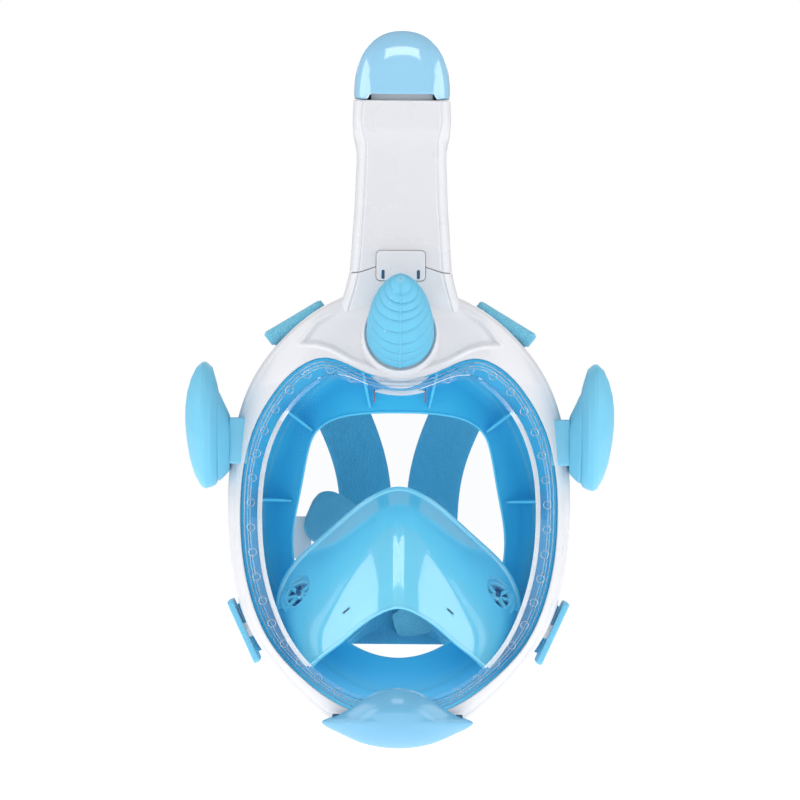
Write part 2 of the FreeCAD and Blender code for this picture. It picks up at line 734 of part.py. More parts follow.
def along_tube(distance):
    """A placement on the tube's axis, distance above the float cage."""
    return TOP_PLACE.multiply(FreeCAD.Placement(V(0, 0, distance), FreeCAD.Rotation()))


def make_divider():
    low, high = 146.0, 184.0
    thick, half = 1.2, 18.5
    points = [V(-half, tube_axis_y(low) - 4, low), V(half, tube_axis_y(low) - 4, low),
              V(half, tube_axis_y(high) - 4, high), V(-half, tube_axis_y(high) - 4, high)]
    return Part.Face(Part.makePolygon(points + points[:1])).extrude(V(0, thick, 0))


feature("airway_divider", make_divider())

cage = new_body("float_cage")
floor = sketch_on(cage, "cage_floor")
draw_circle(floor, "Sizes.CageRing")
draw_circle(floor, "Sizes.CageRing - 3.6")
pad(cage, "cage_floor_pad", floor, "Sizes.CageThick")
bars = sketch_on(cage, "cage_bar")
draw_rectangle(bars, "2 * Sizes.CageRing - 2", "2")
bar_pad = pad(cage, "cage_bar_pad", bars, "Sizes.CageThick")
bar_cross = cage.newObject("PartDesign::PolarPattern", "cage_cross")
bar_cross.Originals = [bar_pad]
bar_cross.Axis = (bars, ["N_Axis"])
bar_cross.Angle = 180
bar_cross.Occurrences = 2
cage.Tip = bar_cross
post = sketch_on(cage, "cage_post", (size("CageRing") - size("CagePost") - 0.4, 0, 0))
draw_circle(post, "Sizes.CagePost")
post_pad = pad(cage, "cage_post_pad", post, "Sizes.CagePostHeight")
post_ring = cage.newObject("PartDesign::PolarPattern", "cage_posts")
post_ring.Originals = [post_pad]
post_ring.Axis = (floor, ["N_Axis"])
post_ring.Angle = 360
post_ring.Occurrences = 4
cage.Tip = post_ring
publish(cage, "float_cage", along_tube(0))
publish(cylinder("Sizes.FloatRadius", "Sizes.FloatHeight"), "float",
        along_tube(size("CageThick") + 0.1))
ring = cut_away(cylinder("Sizes.SealRingOuter", "Sizes.SealRingThick"),
                cylinder("Sizes.SealRingInner", "Sizes.SealRingThick"))
publish(ring, "dry_top_seal", along_tube(size("CagePostHeight") + 0.2))

CAP_SECTIONS = [(219.4, 48.2, 33.6), (225.0, 48.0, 33.4), (232.0, 45.6, 31.6), (239.0, 40.5, 28.0),
                (245.0, 32.0, 22.0), (249.2, 20.0, 13.5), (251.0, 8.0, 6.0)]


def cap_loft(shrink):
    wires = []
    for height, width, depth in CAP_SECTIONS:
        if width > 4 * shrink + 4:
            wires.append(rounded_section(width - 2 * shrink, depth - 2 * shrink,
                                         min(width, depth) * 0.42 - shrink,
                                         tube_axis_y(height), height - 0.6 * shrink,
                                         size("TubeLean")))
    return Part.makeLoft(wires, True)


def make_dry_top_cap():
    width, deep, low, high = 34.0, 20.0, 218.0, 221.4
    notch = Part.makeBox(width, deep, high - low, V(-width / 2, tube_axis_y(219.0) - 30, low))
    return cap_loft(0).cut(cap_loft(1.8)).cut(notch)


feature("dry_top_cap", make_dry_top_cap())


# ----------------------------------------------------------- horn, ears

def make_horn():
    """A ringed cone round local Z, bored for the post that it pushes onto."""
    rings, start, length = 8, 5.6, size("HornLength")
    base, tip = size("HornRadius"), 5.0
    step = (length - tip - start) / rings
    bore = size("HornPostRadius") + size("RunningGap")
    bore_top = size("HornPostLength") + 0.5
    edges = [Part.makeLine(V(bore, 0, start), V(base, 0, start))]
    last = V(base, 0, start)
    for i in range(rings):
        low = start + i * step
        top_radius = tip + (base - tip) * math.cos((i + 1) / rings * math.pi / 2) ** 0.75
        if i == rings - 1:
            top_radius = tip
        end = V(top_radius, 0, low + step)
        middle = V((last.x + end.x) / 2 + 0.6, 0, low + step / 2)
        edges.append(Part.Arc(last, middle, end).toShape())
        last = end
    crown = V(0, 0, length)
    slant = tip * math.sqrt(0.5)
    shoulder = V(slant, 0, length - tip + slant)
    edges.append(Part.Arc(last, shoulder, crown).toShape())
    for corner in (V(0, 0, bore_top), V(bore, 0, bore_top), V(bore, 0, start)):
        edges.append(Part.makeLine(edges[-1].Vertexes[-1].Point, corner))
    return Part.Face(Part.Wire(edges)).revolve(V(0, 0, 0), V(0, 0, 1), 360)


feature("horn", make_horn(), local_frame(HORN_BASE, HORN_OUT))

EAR_MIDDLE = (0, -42.0, 53.5)
EAR_SECTIONS = [(85.8, 9, 12), (87.6, 15, 19.5), (90.5, 20, 26), (93.5, 23.3, 30),
                (96.5, 24.6, 32), (99.5, 24.0, 31.2), (102.5, 21.5, 28), (105.0, 17, 22),
                (107.0, 11, 14), (108.0, 4, 5)]


def make_ear(side):
    """A fat leaf seen edge-on from the front, lofted outwards."""
    x_mid, y_mid, z_mid = EAR_MIDDLE
    wires = []
    for x, half_depth, half_height in EAR_SECTIONS:
        ellipse = Part.Ellipse(V(side * x, y_mid, z_mid), half_height, half_depth)
        ellipse.Axis = V(1, 0, 0)
        ellipse.XAxis = V(0, 0, 1)
        wires.append(Part.Wire(ellipse.toShape()))
    ear = Part.makeLoft(wires, True, True)
    socket = Part.makeCylinder(size("EarPegRadius") + size("RunningGap"), 14.0,
                               V(side * 80, y_mid, z_mid), V(side, 0, 0))
    return ear.cut(socket)


def make_ear_bracket(side):
    """A block on the frame's edge with the peg that the ear pushes onto."""
    x_mid, y_mid, z_mid = EAR_MIDDLE
    low, high = 34.0, 57.0
    near, far = 72.0, 85.2
    block = Part.makeBox(far - near, 16.0, high - low,
                         V(near if side > 0 else -far, y_mid - 8.0, low))
    block = block.cut(prism(outline(FRAME_EDGE, 0.4)))
    peg = Part.makeCylinder(size("EarPegRadius"), size("EarPegLength"),
                            V(side * (far - 0.5), y_mid, z_mid), V(side, 0, 0))
    return block.fuse(peg)


for name, side in SIDES:
    feature(f"ear_{name}", make_ear(side))
    feature(f"ear_bracket_{name}", make_ear_bracket(side))


# --------------------------------------------------------------- straps

# The right band's middle line, from the anchor over the back of the head to
# the lower clip, with the direction that its flat side faces.
STRAP_PATH = [(53.0, -22.0, 105.0), (50.0, 8.0, 98.0), (41.0, 42.0, 80.0), (28.0, 68.0, 54.0),
              (19.5, 79.0, 28.0), (17.0, 83.0, 2.0), (18.5, 82.0, -24.0), (29.0, 72.0, -45.0),
              (47.0, 50.0, -55.0), (64.0, 22.0, -54.0), (73.0, 2.0, -49.0)]
HEAD_MIDDLE = V(0, -10.0, 20.0)


def make_strap(side):
    """A flat woven band of even thickness that follows the head."""
    points = [V(side * x, y, z) for x, y, z in STRAP_PATH]
    half_width, half_thick = size("StrapWidth") / 2, size("StrapThick") / 2
    rails = [[], [], [], []]
    for i, point in enumerate(points):
        before, after = points[max(i - 1, 0)], points[min(i + 1, len(points) - 1)]
        along = (after - before).normalize()
        out = (point - HEAD_MIDDLE).normalize()
        across = along.cross(out).normalize()
        out = across.cross(along).normalize()
        corners = ((1, 1), (1, -1), (-1, -1), (-1, 1))
        for rail, (u, w) in zip(rails, corners):
            rail.append(point + across * (u * half_width) + out * (w * half_thick))
    edges = []
    for rail in rails:
        curve = Part.BSplineCurve()
        curve.interpolate(rail)
        edges.append(curve.toShape())
    faces = [Part.makeRuledSurface(edges[i], edges[(i + 1) % 4]) for i in range(4)]
    for index in (0, -1):
        corner = [rail[index] for rail in rails]
        faces.append(Part.Face(Part.makePolygon(corner + corner[:1])))
    return solid_from(faces)


ANCHOR_AT = (53.5, -37.5, 108.4)
ANCHOR_EDGE = V(28.5, 0, -22.5)


def anchor_placement(side):
    """Local X runs along the frame's edge and local Y out of it."""
    along = V(side * ANCHOR_EDGE.x, 0, ANCHOR_EDGE.z).normalize()
    out = V(-along.z * side, 0, abs(along.x))
    x, y, z = ANCHOR_AT
    return FreeCAD.Placement(V(side * x, y, z),
                             FreeCAD.Rotation(along, out, V(0, 0, 0), "XYZ"))


def strap_anchor(label, side):
    """The slotted bar on the rear frame that the upper strap loops through."""
    body = new_body(label)
    plate = sketch_on(body, f"{label}_plate")
    draw_rectangle(plate, "Sizes.AnchorLength", "Sizes.AnchorWidth")
    pad(body, f"{label}_pad", plate, "Sizes.AnchorThick", True)
    slot = sketch_on(body, f"{label}_slot")
    draw_rectangle(slot, "Sizes.AnchorSlotLength", "Sizes.AnchorSlotWidth")
    pocket(body, f"{label}_cut", slot, "3 * Sizes.AnchorThick")
    return publish(body, label, anchor_placement(side))


def strap_clip(label, side):
    """The lower clip: a plate on a pin, with a slot for the strap."""
    body = new_body(f"{label}_plate")
    plate = sketch_on(body, f"{label}_outline")
    draw_rectangle(plate, "Sizes.ClipLength", "Sizes.ClipReach")
    pad(body, f"{label}_pad", plate, "Sizes.ClipThick")
    slot = sketch_on(body, f"{label}_slot", (0, size("ClipReach") / 2 - 4.6, 0))
    draw_rectangle(slot, "Sizes.ClipSlotLength", "Sizes.ClipSlotWidth")
    pocket(body, f"{label}_slot_cut", slot, "4 * Sizes.ClipThick")
    window = sketch_on(body, f"{label}_window", (0, -CLIP_PIN_BACK, 0))
    draw_rectangle(window, "9", "6.2")
    pocket(body, f"{label}_window_cut", window, "4 * Sizes.ClipThick")
    body.Placement = FreeCAD.Placement()
    bore = cylinder("Sizes.ClipPinRadius + Sizes.RunningGap", "60")
    bore.Placement = FreeCAD.Placement(V(-30, -CLIP_PIN_BACK, size("ClipThick") / 2),
                                       FreeCAD.Rotation(V(0, 1, 0), 90))
    return publish(cut_away(body, bore), label, clip_placement(side))


for name, side in SIDES:
    strap_anchor(f"strap_anchor_{name}", side)
    feature(f"strap_{name}", make_strap(side))
    strap_clip(f"strap_clip_{name}", side)
    pin = cylinder("Sizes.ClipPinRadius", "Sizes.ClipPinLength")
    local = FreeCAD.Placement(V(-size("ClipPinLength") / 2, -CLIP_PIN_BACK, size("ClipThick") / 2),
                              FreeCAD.Rotation(V(0, 1, 0), 90))
    publish(pin, f"clip_pin_{name}", clip_placement(side).multiply(local))


def make_screws():
    """Four self-tapping screws, driven from behind into the front frame."""
    shank, length = size("ScrewRadius"), size("ScrewLength")
    solids = []
    for x, z, tab in SCREWS:
        head_y = front_depth(size("LipDepth") + TAB_BACK)(x, z) + 2.5
        body = Part.makeCylinder(shank, length, V(x, head_y, z), V(0, -1, 0))
        head = Part.makeCylinder(size("ScrewHeadRadius"), size("ScrewHeadHeight"), V(x, head_y, z),
                                 V(0, 1, 0))
        cross = Part.makeBox(3.2, 1.2, 0.7, V(x - 1.6, head_y + 1.0, z - 0.35))
        solids.append(body.fuse(head).cut(cross))
    return Part.makeCompound(solids)


feature("frame_screws", make_screws())

doc.recompute()
bad = [o.Label for o in doc.Objects if "Invalid" in o.State or "Error" in o.State]
if bad:
    raise SystemExit(f"failed objects: {bad}")
os.makedirs("parts", exist_ok=True)
for obj in subparts:
    if obj.Shape.isNull() or not obj.Shape.isValid():
        raise SystemExit(f"{obj.Label} has no valid shape")
    obj.Shape.exportStep(f"parts/{obj.Label}.step")
    print(f"{obj.Label:24s} {len(obj.Shape.Solids)} solids {obj.Shape.Volume:10.0f} mm3")
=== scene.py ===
import bpy
import bmesh
import math
import numpy as np
from mathutils import Matrix, Vector


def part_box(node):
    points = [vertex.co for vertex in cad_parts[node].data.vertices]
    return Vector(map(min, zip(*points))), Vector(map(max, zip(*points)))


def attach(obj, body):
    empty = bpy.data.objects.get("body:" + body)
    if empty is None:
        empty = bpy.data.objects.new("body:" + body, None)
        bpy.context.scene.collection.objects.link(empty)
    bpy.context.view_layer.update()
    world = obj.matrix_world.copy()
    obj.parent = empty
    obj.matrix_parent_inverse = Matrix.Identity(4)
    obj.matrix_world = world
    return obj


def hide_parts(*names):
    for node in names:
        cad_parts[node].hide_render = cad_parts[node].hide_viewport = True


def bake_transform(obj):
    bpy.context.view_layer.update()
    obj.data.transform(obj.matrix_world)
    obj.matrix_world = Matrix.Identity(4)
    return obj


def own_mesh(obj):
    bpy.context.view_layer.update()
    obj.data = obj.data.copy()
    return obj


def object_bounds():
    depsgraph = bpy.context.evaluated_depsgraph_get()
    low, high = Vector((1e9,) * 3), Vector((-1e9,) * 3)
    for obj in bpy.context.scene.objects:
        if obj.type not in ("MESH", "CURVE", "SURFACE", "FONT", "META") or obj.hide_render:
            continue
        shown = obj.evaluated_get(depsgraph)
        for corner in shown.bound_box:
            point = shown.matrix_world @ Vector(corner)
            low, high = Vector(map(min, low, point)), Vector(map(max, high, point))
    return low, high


# The looks of a child's full-face snorkel mask with a horn and two ears, built round its CAD frame.
# Shapes are worked out in millimetres in the CAD's own frame: -Y is forward and Z is up.

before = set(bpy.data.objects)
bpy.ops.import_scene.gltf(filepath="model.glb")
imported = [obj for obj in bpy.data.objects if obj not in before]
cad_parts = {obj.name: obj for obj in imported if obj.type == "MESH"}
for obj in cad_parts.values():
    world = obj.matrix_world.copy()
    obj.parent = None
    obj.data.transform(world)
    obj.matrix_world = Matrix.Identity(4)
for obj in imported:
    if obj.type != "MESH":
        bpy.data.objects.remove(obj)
cad_low, cad_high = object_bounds()

MM = 0.001
SPAN_STEPS = 16             # points on each span of a smooth outline
FRAME_WIDTH = (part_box("front_frame")[1].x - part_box("front_frame")[0].x) / MM
SCALE = FRAME_WIDTH / 172.0
SIDES = (("left", -1), ("right", 1))

# ------------------------------------------------------------------ driving shapes, as in the CAD

# Half outlines in the front view, from the top of the centre line to its bottom, as (x, z).
FRAME_EDGE = [(0, 121), (17, 120.8), (33, 116), (50, 105), (64, 91), (75, 74), (82, 54), (85.6, 31),
              (86, 8), (84.2, -17), (79, -39), (69, -58), (54, -76), (32, -94), (0, -104)]
LENS_HOLE = [(0, 77), (12, 78.3), (25, 83.5), (38, 87.2), (51, 82), (63, 69.5), (72, 54), (78, 33),
             (79.6, 8), (78, -14), (72.5, -37), (63, -56), (49, -71), (27, -86), (0, -92)]
LENS_FACE = [(0, 70), (12, 71.8), (24, 76.5), (35, 78), (46, 72), (56, 61), (63.5, 47), (68.3, 29),
             (69.6, 8), (68, -14), (62.5, -36), (54, -54), (41, -69), (22, -80), (0, -84)]
SEAL_EDGE = [(0, 92), (14, 91), (28, 86), (42, 77), (53, 66), (61, 53), (67, 38), (71, 22), (72, 5),
             (70.5, -12), (66.5, -30), (59, -47), (46, -64), (26, -79), (0, -86)]
FACE_OPENING = [(0, 60), (12, 59.8), (24, 58.6), (35, 55.5), (42.5, 49.5), (46, 41), (48.2, 30),
                (50.8, 16), (53.3, 2), (53.5, -12), (50.5, -26), (44, -39), (33, -50.5),
                (17, -60.5), (0, -64)]
CHIN_EDGE = [(0, -77), (9, -78.8), (19, -84), (29, -90.5), (37.5, -94.5), (29, -100), (18, -104.8),
             (8, -107), (0, -107.5)]
# The forehead's sunk panel, right half, from the neck's foot round to the middle of its lower edge.
PANEL = [(20.6, 118), (41, 105.5), (49.6, 94.5), (41, 94.3), (34, 92.2), (23.6, 86.5), (13, 82.5),
         (0, 79.5)]
LIP, LENS_FRONT = -81.0, -87.2
WRAP_RADIUS, TOP_LEAN, TOP_LEAN_START = 118.0, 0.25, 75.0
SEAL_WRAP, SEAL_HALF_WIDTH = 0.9, 72.0
HORN_BASE, HORN_OUT = (0, -73.0, 99.0), (0, -0.872, 0.489)
NECK_TOP, NECK_Y, TUBE_LEAN = 133.0, -52.0, math.tan(math.radians(12.0))
TUBE_SECTIONS = [(133.9, 51.0, 36.0), (141.0, 49.6, 34.5), (158.0, 47.0, 32.0), (185.0, 45.0, 31.0),
                 (193.0, 45.4, 31.0), (201.0, 49.0, 34.0), (208.0, 49.6, 34.5), (219.0, 48.6, 34.0)]
CAP_BASE, CAP_TOP = 219.7, 253.2
KNUCKLE_RADIUS = 3.3
SCREWS = [(40, 104.0, 6.5), (-40, 104.0, 6.5), (20, -93.6, 3.9), (-20, -93.6, 3.9)]
POCKET_ARCS = [
    [(50, -28, -58), (59.5, -26, -46), (60, -25, -32), (53, -25.5, -18), (38, -27, -3.5),
     (19, -32, 13), (0, -35, 21.5)],
    [(51, -41, -62), (56, -41, -47), (49.5, -43, -32), (35, -47.5, -16), (17.5, -52, 0),
     (0, -54, 8.5)],
    [(49.5, -56, -65), (49, -58, -54), (39, -63, -43), (27, -67, -31), (13, -70, -20),
     (0, -71, -14.5)],
    [(44, -70, -66), (37.5, -73, -60.5), (29, -76, -54), (19, -79, -45.2), (9, -81.5, -38.8),
     (0, -82.3, -36.2)],
]
INHALE_AT, INHALE_OUT = (49.0, -35.0, -33.0), (0.42, -0.72, 0.55)
# Ear sections going outwards: (x, half depth, half height, middle height).
EAR_SECTIONS = [(85.3, 9.5, 13.0, 44.3), (85.6, 10.6, 14.2, 44.4), (87.0, 12.4, 16.6, 45.0),
                (89.0, 14.8, 19.6, 46.0), (91.0, 17.3, 22.8, 47.5), (92.6, 20.0, 26.6, 49.6),
                (94.5, 22.8, 30.2, 52.3), (97.5, 24.2, 32.0, 53.2), (99.5, 24.0, 31.6, 53.8),
                (102.6, 21.2, 27.6, 55.0), (105.2, 16.0, 21.0, 56.0), (107.0, 9.6, 12.6, 57.6),
                (107.8, 4.0, 5.4, 58.0)]
EAR_Y = -42.0
STRAP_PATH = [(53, -22, 105), (50, 8, 98), (41, 42, 80), (28, 68, 54), (19.5, 79, 28),
              (17, 83, 2), (18.5, 82, -24), (29, 72, -45), (47, 50, -55), (64, 22, -54),
              (73, 2, -49)]
STRAP_WIDTH, STRAP_THICK = 28.0, 2.0
RIB_PITCH, PICK_PITCH = 0.9, 0.75      # of the webbing's weave
HEAD_MIDDLE = np.array((0, -10.0, 20.0))
ANCHOR_AT, ANCHOR_EDGE = (53.5, -37.5, 108.4), (28.5, -22.5)
CLIP_MIDDLE, CLIP_EDGE, CLIP_PIN_BACK = (76.4, -26.5, -50.0), (14.5, 31.5), 12.8


# ------------------------------------------------------------------ curves and depths

def closed_curve(half, per_span=SPAN_STEPS):
    """Points on the smooth closed curve through a half outline and its mirror image."""
    right = [(x * SCALE, z * SCALE) for x, z in half]
    p = np.array(right + [(-x, z) for x, z in reversed(right[1:-1])], float)
    count = len(p)
    h = np.linalg.norm(np.roll(p, -1, 0) - p, axis=1)
    slope = (np.roll(p, -1, 0) - p) / h[:, None]
    matrix = np.zeros((count, count))
    for i in range(count):
        matrix[i, i - 1] += h[i - 1]
        matrix[i, i] += 2 * (h[i - 1] + h[i])
        matrix[i, (i + 1) % count] += h[i]
    bend = np.linalg.solve(matrix, 6 * (slope - np.roll(slope, 1, 0)))
    t = np.arange(per_span)[None, :, None] / per_span
    s = 1 - t
    a, b = p[:, None], np.roll(p, -1, 0)[:, None]
    ma, mb = bend[:, None], np.roll(bend, -1, 0)[:, None]
    curve = s * a + t * b + h[:, None, None]**2 / 6 * ((s**3 - s) * ma + (t**3 - t) * mb)
    return curve.reshape(-1, 2)


def open_curve(points, count):
    """count points, evenly spaced, on the smooth open curve through points."""
    p = np.array(points, float)
    h = np.linalg.norm(np.diff(p, axis=0), axis=1)
    knots = np.concatenate([[0], np.cumsum(h)])
    n = len(p)
    matrix, right = np.eye(n), np.zeros_like(p)
    slope = np.diff(p, axis=0) / h[:, None]
    for i in range(1, n - 1):
        matrix[i, i - 1:i + 2] = h[i - 1], 2 * (h[i - 1] + h[i]), h[i]
        right[i] = 6 * (slope[i] - slope[i - 1])
    bend = np.linalg.solve(matrix, right)

    def value(u):
        i = np.clip(np.searchsorted(knots, u, side="right") - 1, 0, n - 2)
        t = ((u - knots[i]) / h[i])[:, None]
        s = 1 - t
        return (s * p[i] + t * p[i + 1]
                + (h[i]**2)[:, None] / 6 * ((s**3 - s) * bend[i] + (t**3 - t) * bend[i + 1]))

    fine = np.linspace(0, knots[-1], 40 * n)
    run = distance_along(value(fine))
    return value(np.interp(np.linspace(0, run[-1], count), run, fine))


def outline(half, grow=0.0):
    """A closed outline moved outwards by grow."""
    p = closed_curve(half)
    along = unit(np.roll(p, -1, 0) - np.roll(p, 1, 0))
    return p + grow * np.stack([-along[:, 1], along[:, 0]], 1)


def circle(count):
    """Even angles round a full turn."""
    return np.linspace(0, 2 * math.pi, count, endpoint=False)


def unit(vectors):
    """Vectors scaled to length one, along the last axis."""
    return vectors / np.linalg.norm(vectors, axis=-1)[..., None]


def distance_along(path):
    """How far each point of a path is from its start."""
    return np.concatenate([[0], np.cumsum(np.linalg.norm(np.diff(path, axis=0), axis=1))])


def wrap(x):
    """How far back the frame's curve lies at a distance from the centre line."""
    return WRAP_RADIUS - np.sqrt(WRAP_RADIUS**2 - x**2)


def front_ring(points, depth):
    """A ring on the frame's own curved front, depth on the centre line."""
    x, z = points[:, 0], points[:, 1]
    return np.stack([x, depth + wrap(x) + TOP_LEAN * np.maximum(0, z - TOP_LEAN_START), z], 1)


def seal_ring(points, offset):
    """A ring that follows the face."""
    x, z = points[:, 0], points[:, 1]
    return np.stack([x, offset + SEAL_WRAP * (wrap(x) - wrap(SEAL_HALF_WIDTH)), z], 1)


def smoothstep(t):
    """Eases from 0 to 1."""
    t = np.clip(t, 0, 1)
    return t * t * (3 - 2 * t)


def fillet(rings, radii, steps=4):
    """Closed profile rings with the corners of a radius rounded."""
    made = []
    for i, (here, radius) in enumerate(zip(rings, radii)):
        if not radius:
            made.append(here)
            continue
        ends = []
        for other in (rings[i - 1], rings[(i + 1) % len(rings)]):
            away = other - here
            length = np.maximum(np.linalg.norm(away, axis=1), 1e-6)[:, None]
            ends.append(here + away * np.minimum(radius / length, 0.45))
        for t in np.linspace(0, 1, steps + 1):
            made.append((1 - t)**2 * ends[0] + 2 * t * (1 - t) * here + t * t * ends[1])
    return made


def signed_depth(points, polygon):
    """How far inside a polygon each point is; negative outside."""
    p, poly = np.asarray(points, float), np.asarray(polygon, float)
    a, b = poly, np.roll(poly, -1, 0)
    along = b - a
    t = np.einsum("nkj,kj->nk", p[:, None] - a, along) / (along**2).sum(1)
    near = a + np.clip(t, 0, 1)[..., None] * along
    distance = np.linalg.norm(p[:, None] - near, axis=2).min(1)
    crosses = (a[:, 1] > p[:, 1:2]) != (b[:, 1] > p[:, 1:2])
    rise = np.where(along[:, 1] == 0, 1e-9, along[:, 1])
    hit = p[:, :1] < a[:, 0] + (p[:, 1:2] - a[:, 1]) / rise * along[:, 0]
    inside = (crosses & hit).sum(1) % 2 == 1
    return np.where(inside, distance, -distance)


# ------------------------------------------------------------------ mesh helpers

def piece(name, points, faces, material, slot=None, body="root", sharp=32.0, uv=None):
    """A named mesh in millimetres, in its material, that rides on a body; slot is not used."""
    mesh = bpy.data.meshes.new(name)
    mesh.from_pydata((np.asarray(points, float) * MM).tolist(), [], faces)
    mesh.update()
    if uv is not None:
        layer = mesh.uv_layers.new(name="weave")
        index = np.zeros(len(mesh.loops), np.int32)
        mesh.loops.foreach_get("vertex_index", index)
        layer.data.foreach_set("uv", np.asarray(uv, np.float32)[index].ravel())
    made = bpy.data.objects.new(name, mesh)
    bpy.context.scene.collection.objects.link(made)
    mesh.materials.append(material)
    finish_mesh(made, sharp)
    if body:
        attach(made, body)
    return made


def finish_mesh(made, sharp=32.0):
    """Outward normals and smooth shading with crisp creases."""
    work = bmesh.new()
    work.from_mesh(made.data)
    bmesh.ops.recalc_face_normals(work, faces=work.faces)
    work.to_mesh(made.data)
    work.free()
    made.data.shade_smooth()
    made.data.set_sharp_from_angle(angle=math.radians(sharp))


def grid_faces(rows, columns, close_rows=False, close_columns=True):
    """Quads between the rows of a grid of points."""
    faces = []
    for r in range(rows if close_rows else rows - 1):
        for c in range(columns if close_columns else columns - 1):
            d, e = (r + 1) % rows, (c + 1) % columns
            faces.append((r * columns + c, r * columns + e, d * columns + e, d * columns + c))
    return faces


def loft(name, rings, material, closed=False, caps=True, **more):
    """A skin over rings of equal length: a closed tube of section, or capped at both ends."""
    rings = [np.asarray(r, float) for r in rings]
    rows, columns = len(rings), len(rings[0])
    faces = grid_faces(rows, columns, close_rows=closed)
    if caps and not closed:
        faces.append(tuple(range(columns)))
        faces.append(tuple(range((rows - 1) * columns, rows * columns)))
    return piece(name, np.concatenate(rings), faces, material, **more)


def frame_of(base, out, along=(1, 0, 0)):
    """A function that takes local points to the object's frame; local Z points along out."""
    z = unit(np.array(out, float))
    x = np.array(along, float)
    x -= z * (x @ z)
    x = unit(x)
    axes = np.stack([x, np.cross(z, x), z])
    return lambda p: np.asarray(p, float) @ axes + np.array(base, float)


def turned(profile, count=96):
    """Rings of a profile of (radius, z) turned round local Z."""
    angle = circle(count)
    return [np.stack([r * np.cos(angle), r * np.sin(angle), np.full(count, z)], 1) for r, z in profile]


def rounded_box(half_x, half_y, radius, count=8):
    """A rounded rectangle round the local origin as (x, y)."""
    points = []
    for quarter, (sx, sy) in enumerate(((1, 1), (-1, 1), (-1, -1), (1, -1))):
        for i in range(count + 1):
            angle = math.pi / 2 * (quarter + i / count)
            points.append((sx * (half_x - radius) + radius * math.cos(angle),
                           sy * (half_y - radius) + radius * math.sin(angle)))
    return np.array(points)


def slab_rings(shape, low, high, edge):
    """Rings of a flat slab of a shape between two heights, with its edges rounded."""
    shape = np.asarray(shape, float)
    middle = shape.mean(0)
    size = np.abs(shape - middle).max(0)
    rings = []
    for turn in np.linspace(0, math.pi / 2, 5):
        rings.append((1 - math.sin(turn), low + edge * (1 - math.cos(turn))))
    rings += [(inset, low + high - z) for inset, z in reversed(rings)]
    made = []
    for inset, z in rings:
        scaled = middle + (shape - middle) * (1 - inset * edge / size)
        made.append(np.column_stack([scaled, np.full(len(shape), z)]))
    return made


def cut(target, tool_rings):
    """Cuts away the closed loft of the tool's rings."""
    rows, columns = len(tool_rings), len(tool_rings[0])
    faces = grid_faces(rows, columns)
    faces += [tuple(range(columns)), tuple(range((rows - 1) * columns, rows * columns))]
    mesh = bpy.data.meshes.new("tool")
    mesh.from_pydata((np.concatenate(tool_rings) * MM).tolist(), [], faces)
    tool = bpy.data.objects.new("tool", mesh)
    bpy.context.scene.collection.objects.link(tool)
    finish_mesh(tool)
    change = target.modifiers.new("cut", "BOOLEAN")
    change.operation, change.solver, change.object = "DIFFERENCE", "EXACT", tool
    graph = bpy.context.evaluated_depsgraph_get()
    result = bpy.data.meshes.new_from_object(target.evaluated_get(graph))
    target.modifiers.clear()
    target.data = result
    bpy.data.objects.remove(tool)
    finish_mesh(target)


# ------------------------------------------------------------------ materials


def new_material(name):
    """A material with nodes, its tree and a dictionary of its nodes by name."""
    material = bpy.data.materials.new(name)
    material.use_nodes = True
    return material, material.node_tree, material.node_tree.nodes


def put(tree, made, **values):
    """Sets a node's inputs, named with _ for a space, to values or to the outputs that feed them."""
    for name, value in values.items():
        socket = made.inputs[name.replace("_", " ")]
        if isinstance(value, bpy.types.NodeSocket):
            tree.links.new(value, socket)
        else:
            socket.default_value = value


def node(tree, kind, output=0, setting=None, **values):
    """A new shader node's output, after one setting of the node and its inputs."""
    made = tree.nodes.new("ShaderNode" + kind)
    if setting:
        setattr(made, *setting)
    put(tree, made, **values)
    return made.outputs[output]


def mixed(tree, factor, a, b):
    """A colour between two; each is a colour or the output of a node."""
    a, b = (c if isinstance(c, bpy.types.NodeSocket) else (*c, 1) for c in (a, b))
    return node(tree, "Mix", "Result", ("data_type", "RGBA"), Factor=factor, A=a, B=b)


def moulded(name, colour, roughness=0.35, coat=0.0, grain=0.05, grain_size=0.5, mottle=0.05,
            glow=0.0, edge=0.06, crease=0.45):
    """A moulded surface: fine grain, slow colour drift and uneven gloss, with light painted in: a
    painted highlight that pales sharp edges, and painted shade that darkens hollows.
    glow is painted light too: an even emission in place of the light that soaks through pale silicone."""
    material, tree, nodes = new_material(name)
    where = node(tree, "TexCoord", "Object")
    drift = node(tree, "TexNoise", "Fac", Scale=38.0, Detail=3.0, Vector=where)
    tint = mixed(tree, drift, [c * (1 - mottle) for c in colour],
                 [min(1.0, c * (1 + mottle)) for c in colour])
    pointed = node(tree, "NewGeometry", "Pointiness")
    # painted highlight: where pointiness finds a sharp edge, the colour is paled towards near white, by
    # up to edge
    edge_highlight = node(tree, "MapRange", "Result", From_Min=0.51, From_Max=0.62, To_Max=edge, Value=pointed)
    highlit_tint = mixed(tree, edge_highlight, tint, (0.92, 0.95, 0.97))
    # painted shade: where pointiness finds a hollow, the colour is darkened to crease times itself
    crease_shade = node(tree, "MapRange", "Result", From_Min=0.38, From_Max=0.49, To_Min=crease,
                   Value=pointed)
    deep = node(tree, "VectorMath", "Vector", ("operation", "SCALE"), Vector=highlit_tint, Scale=crease_shade)
    fine = node(tree, "TexNoise", "Fac", Scale=1.0 / (grain_size * MM), Detail=2.0, Vector=where)
    gloss = node(tree, "MapRange", "Result", To_Min=roughness * 0.8, To_Max=roughness * 1.2,
                 Value=drift)
    bump = node(tree, "Bump", "Normal", Strength=0.6, Distance=grain * MM, Height=fine)
    # painted light: an emission of glow strength in the colour with its painted highlights
    put(tree, nodes["Principled BSDF"], Base_Color=deep, Roughness=gloss, Normal=bump, Coat_Weight=coat,
        Coat_Roughness=0.05, Coat_IOR=1.9, Emission_Color=highlit_tint, Emission_Strength=glow)
    return material


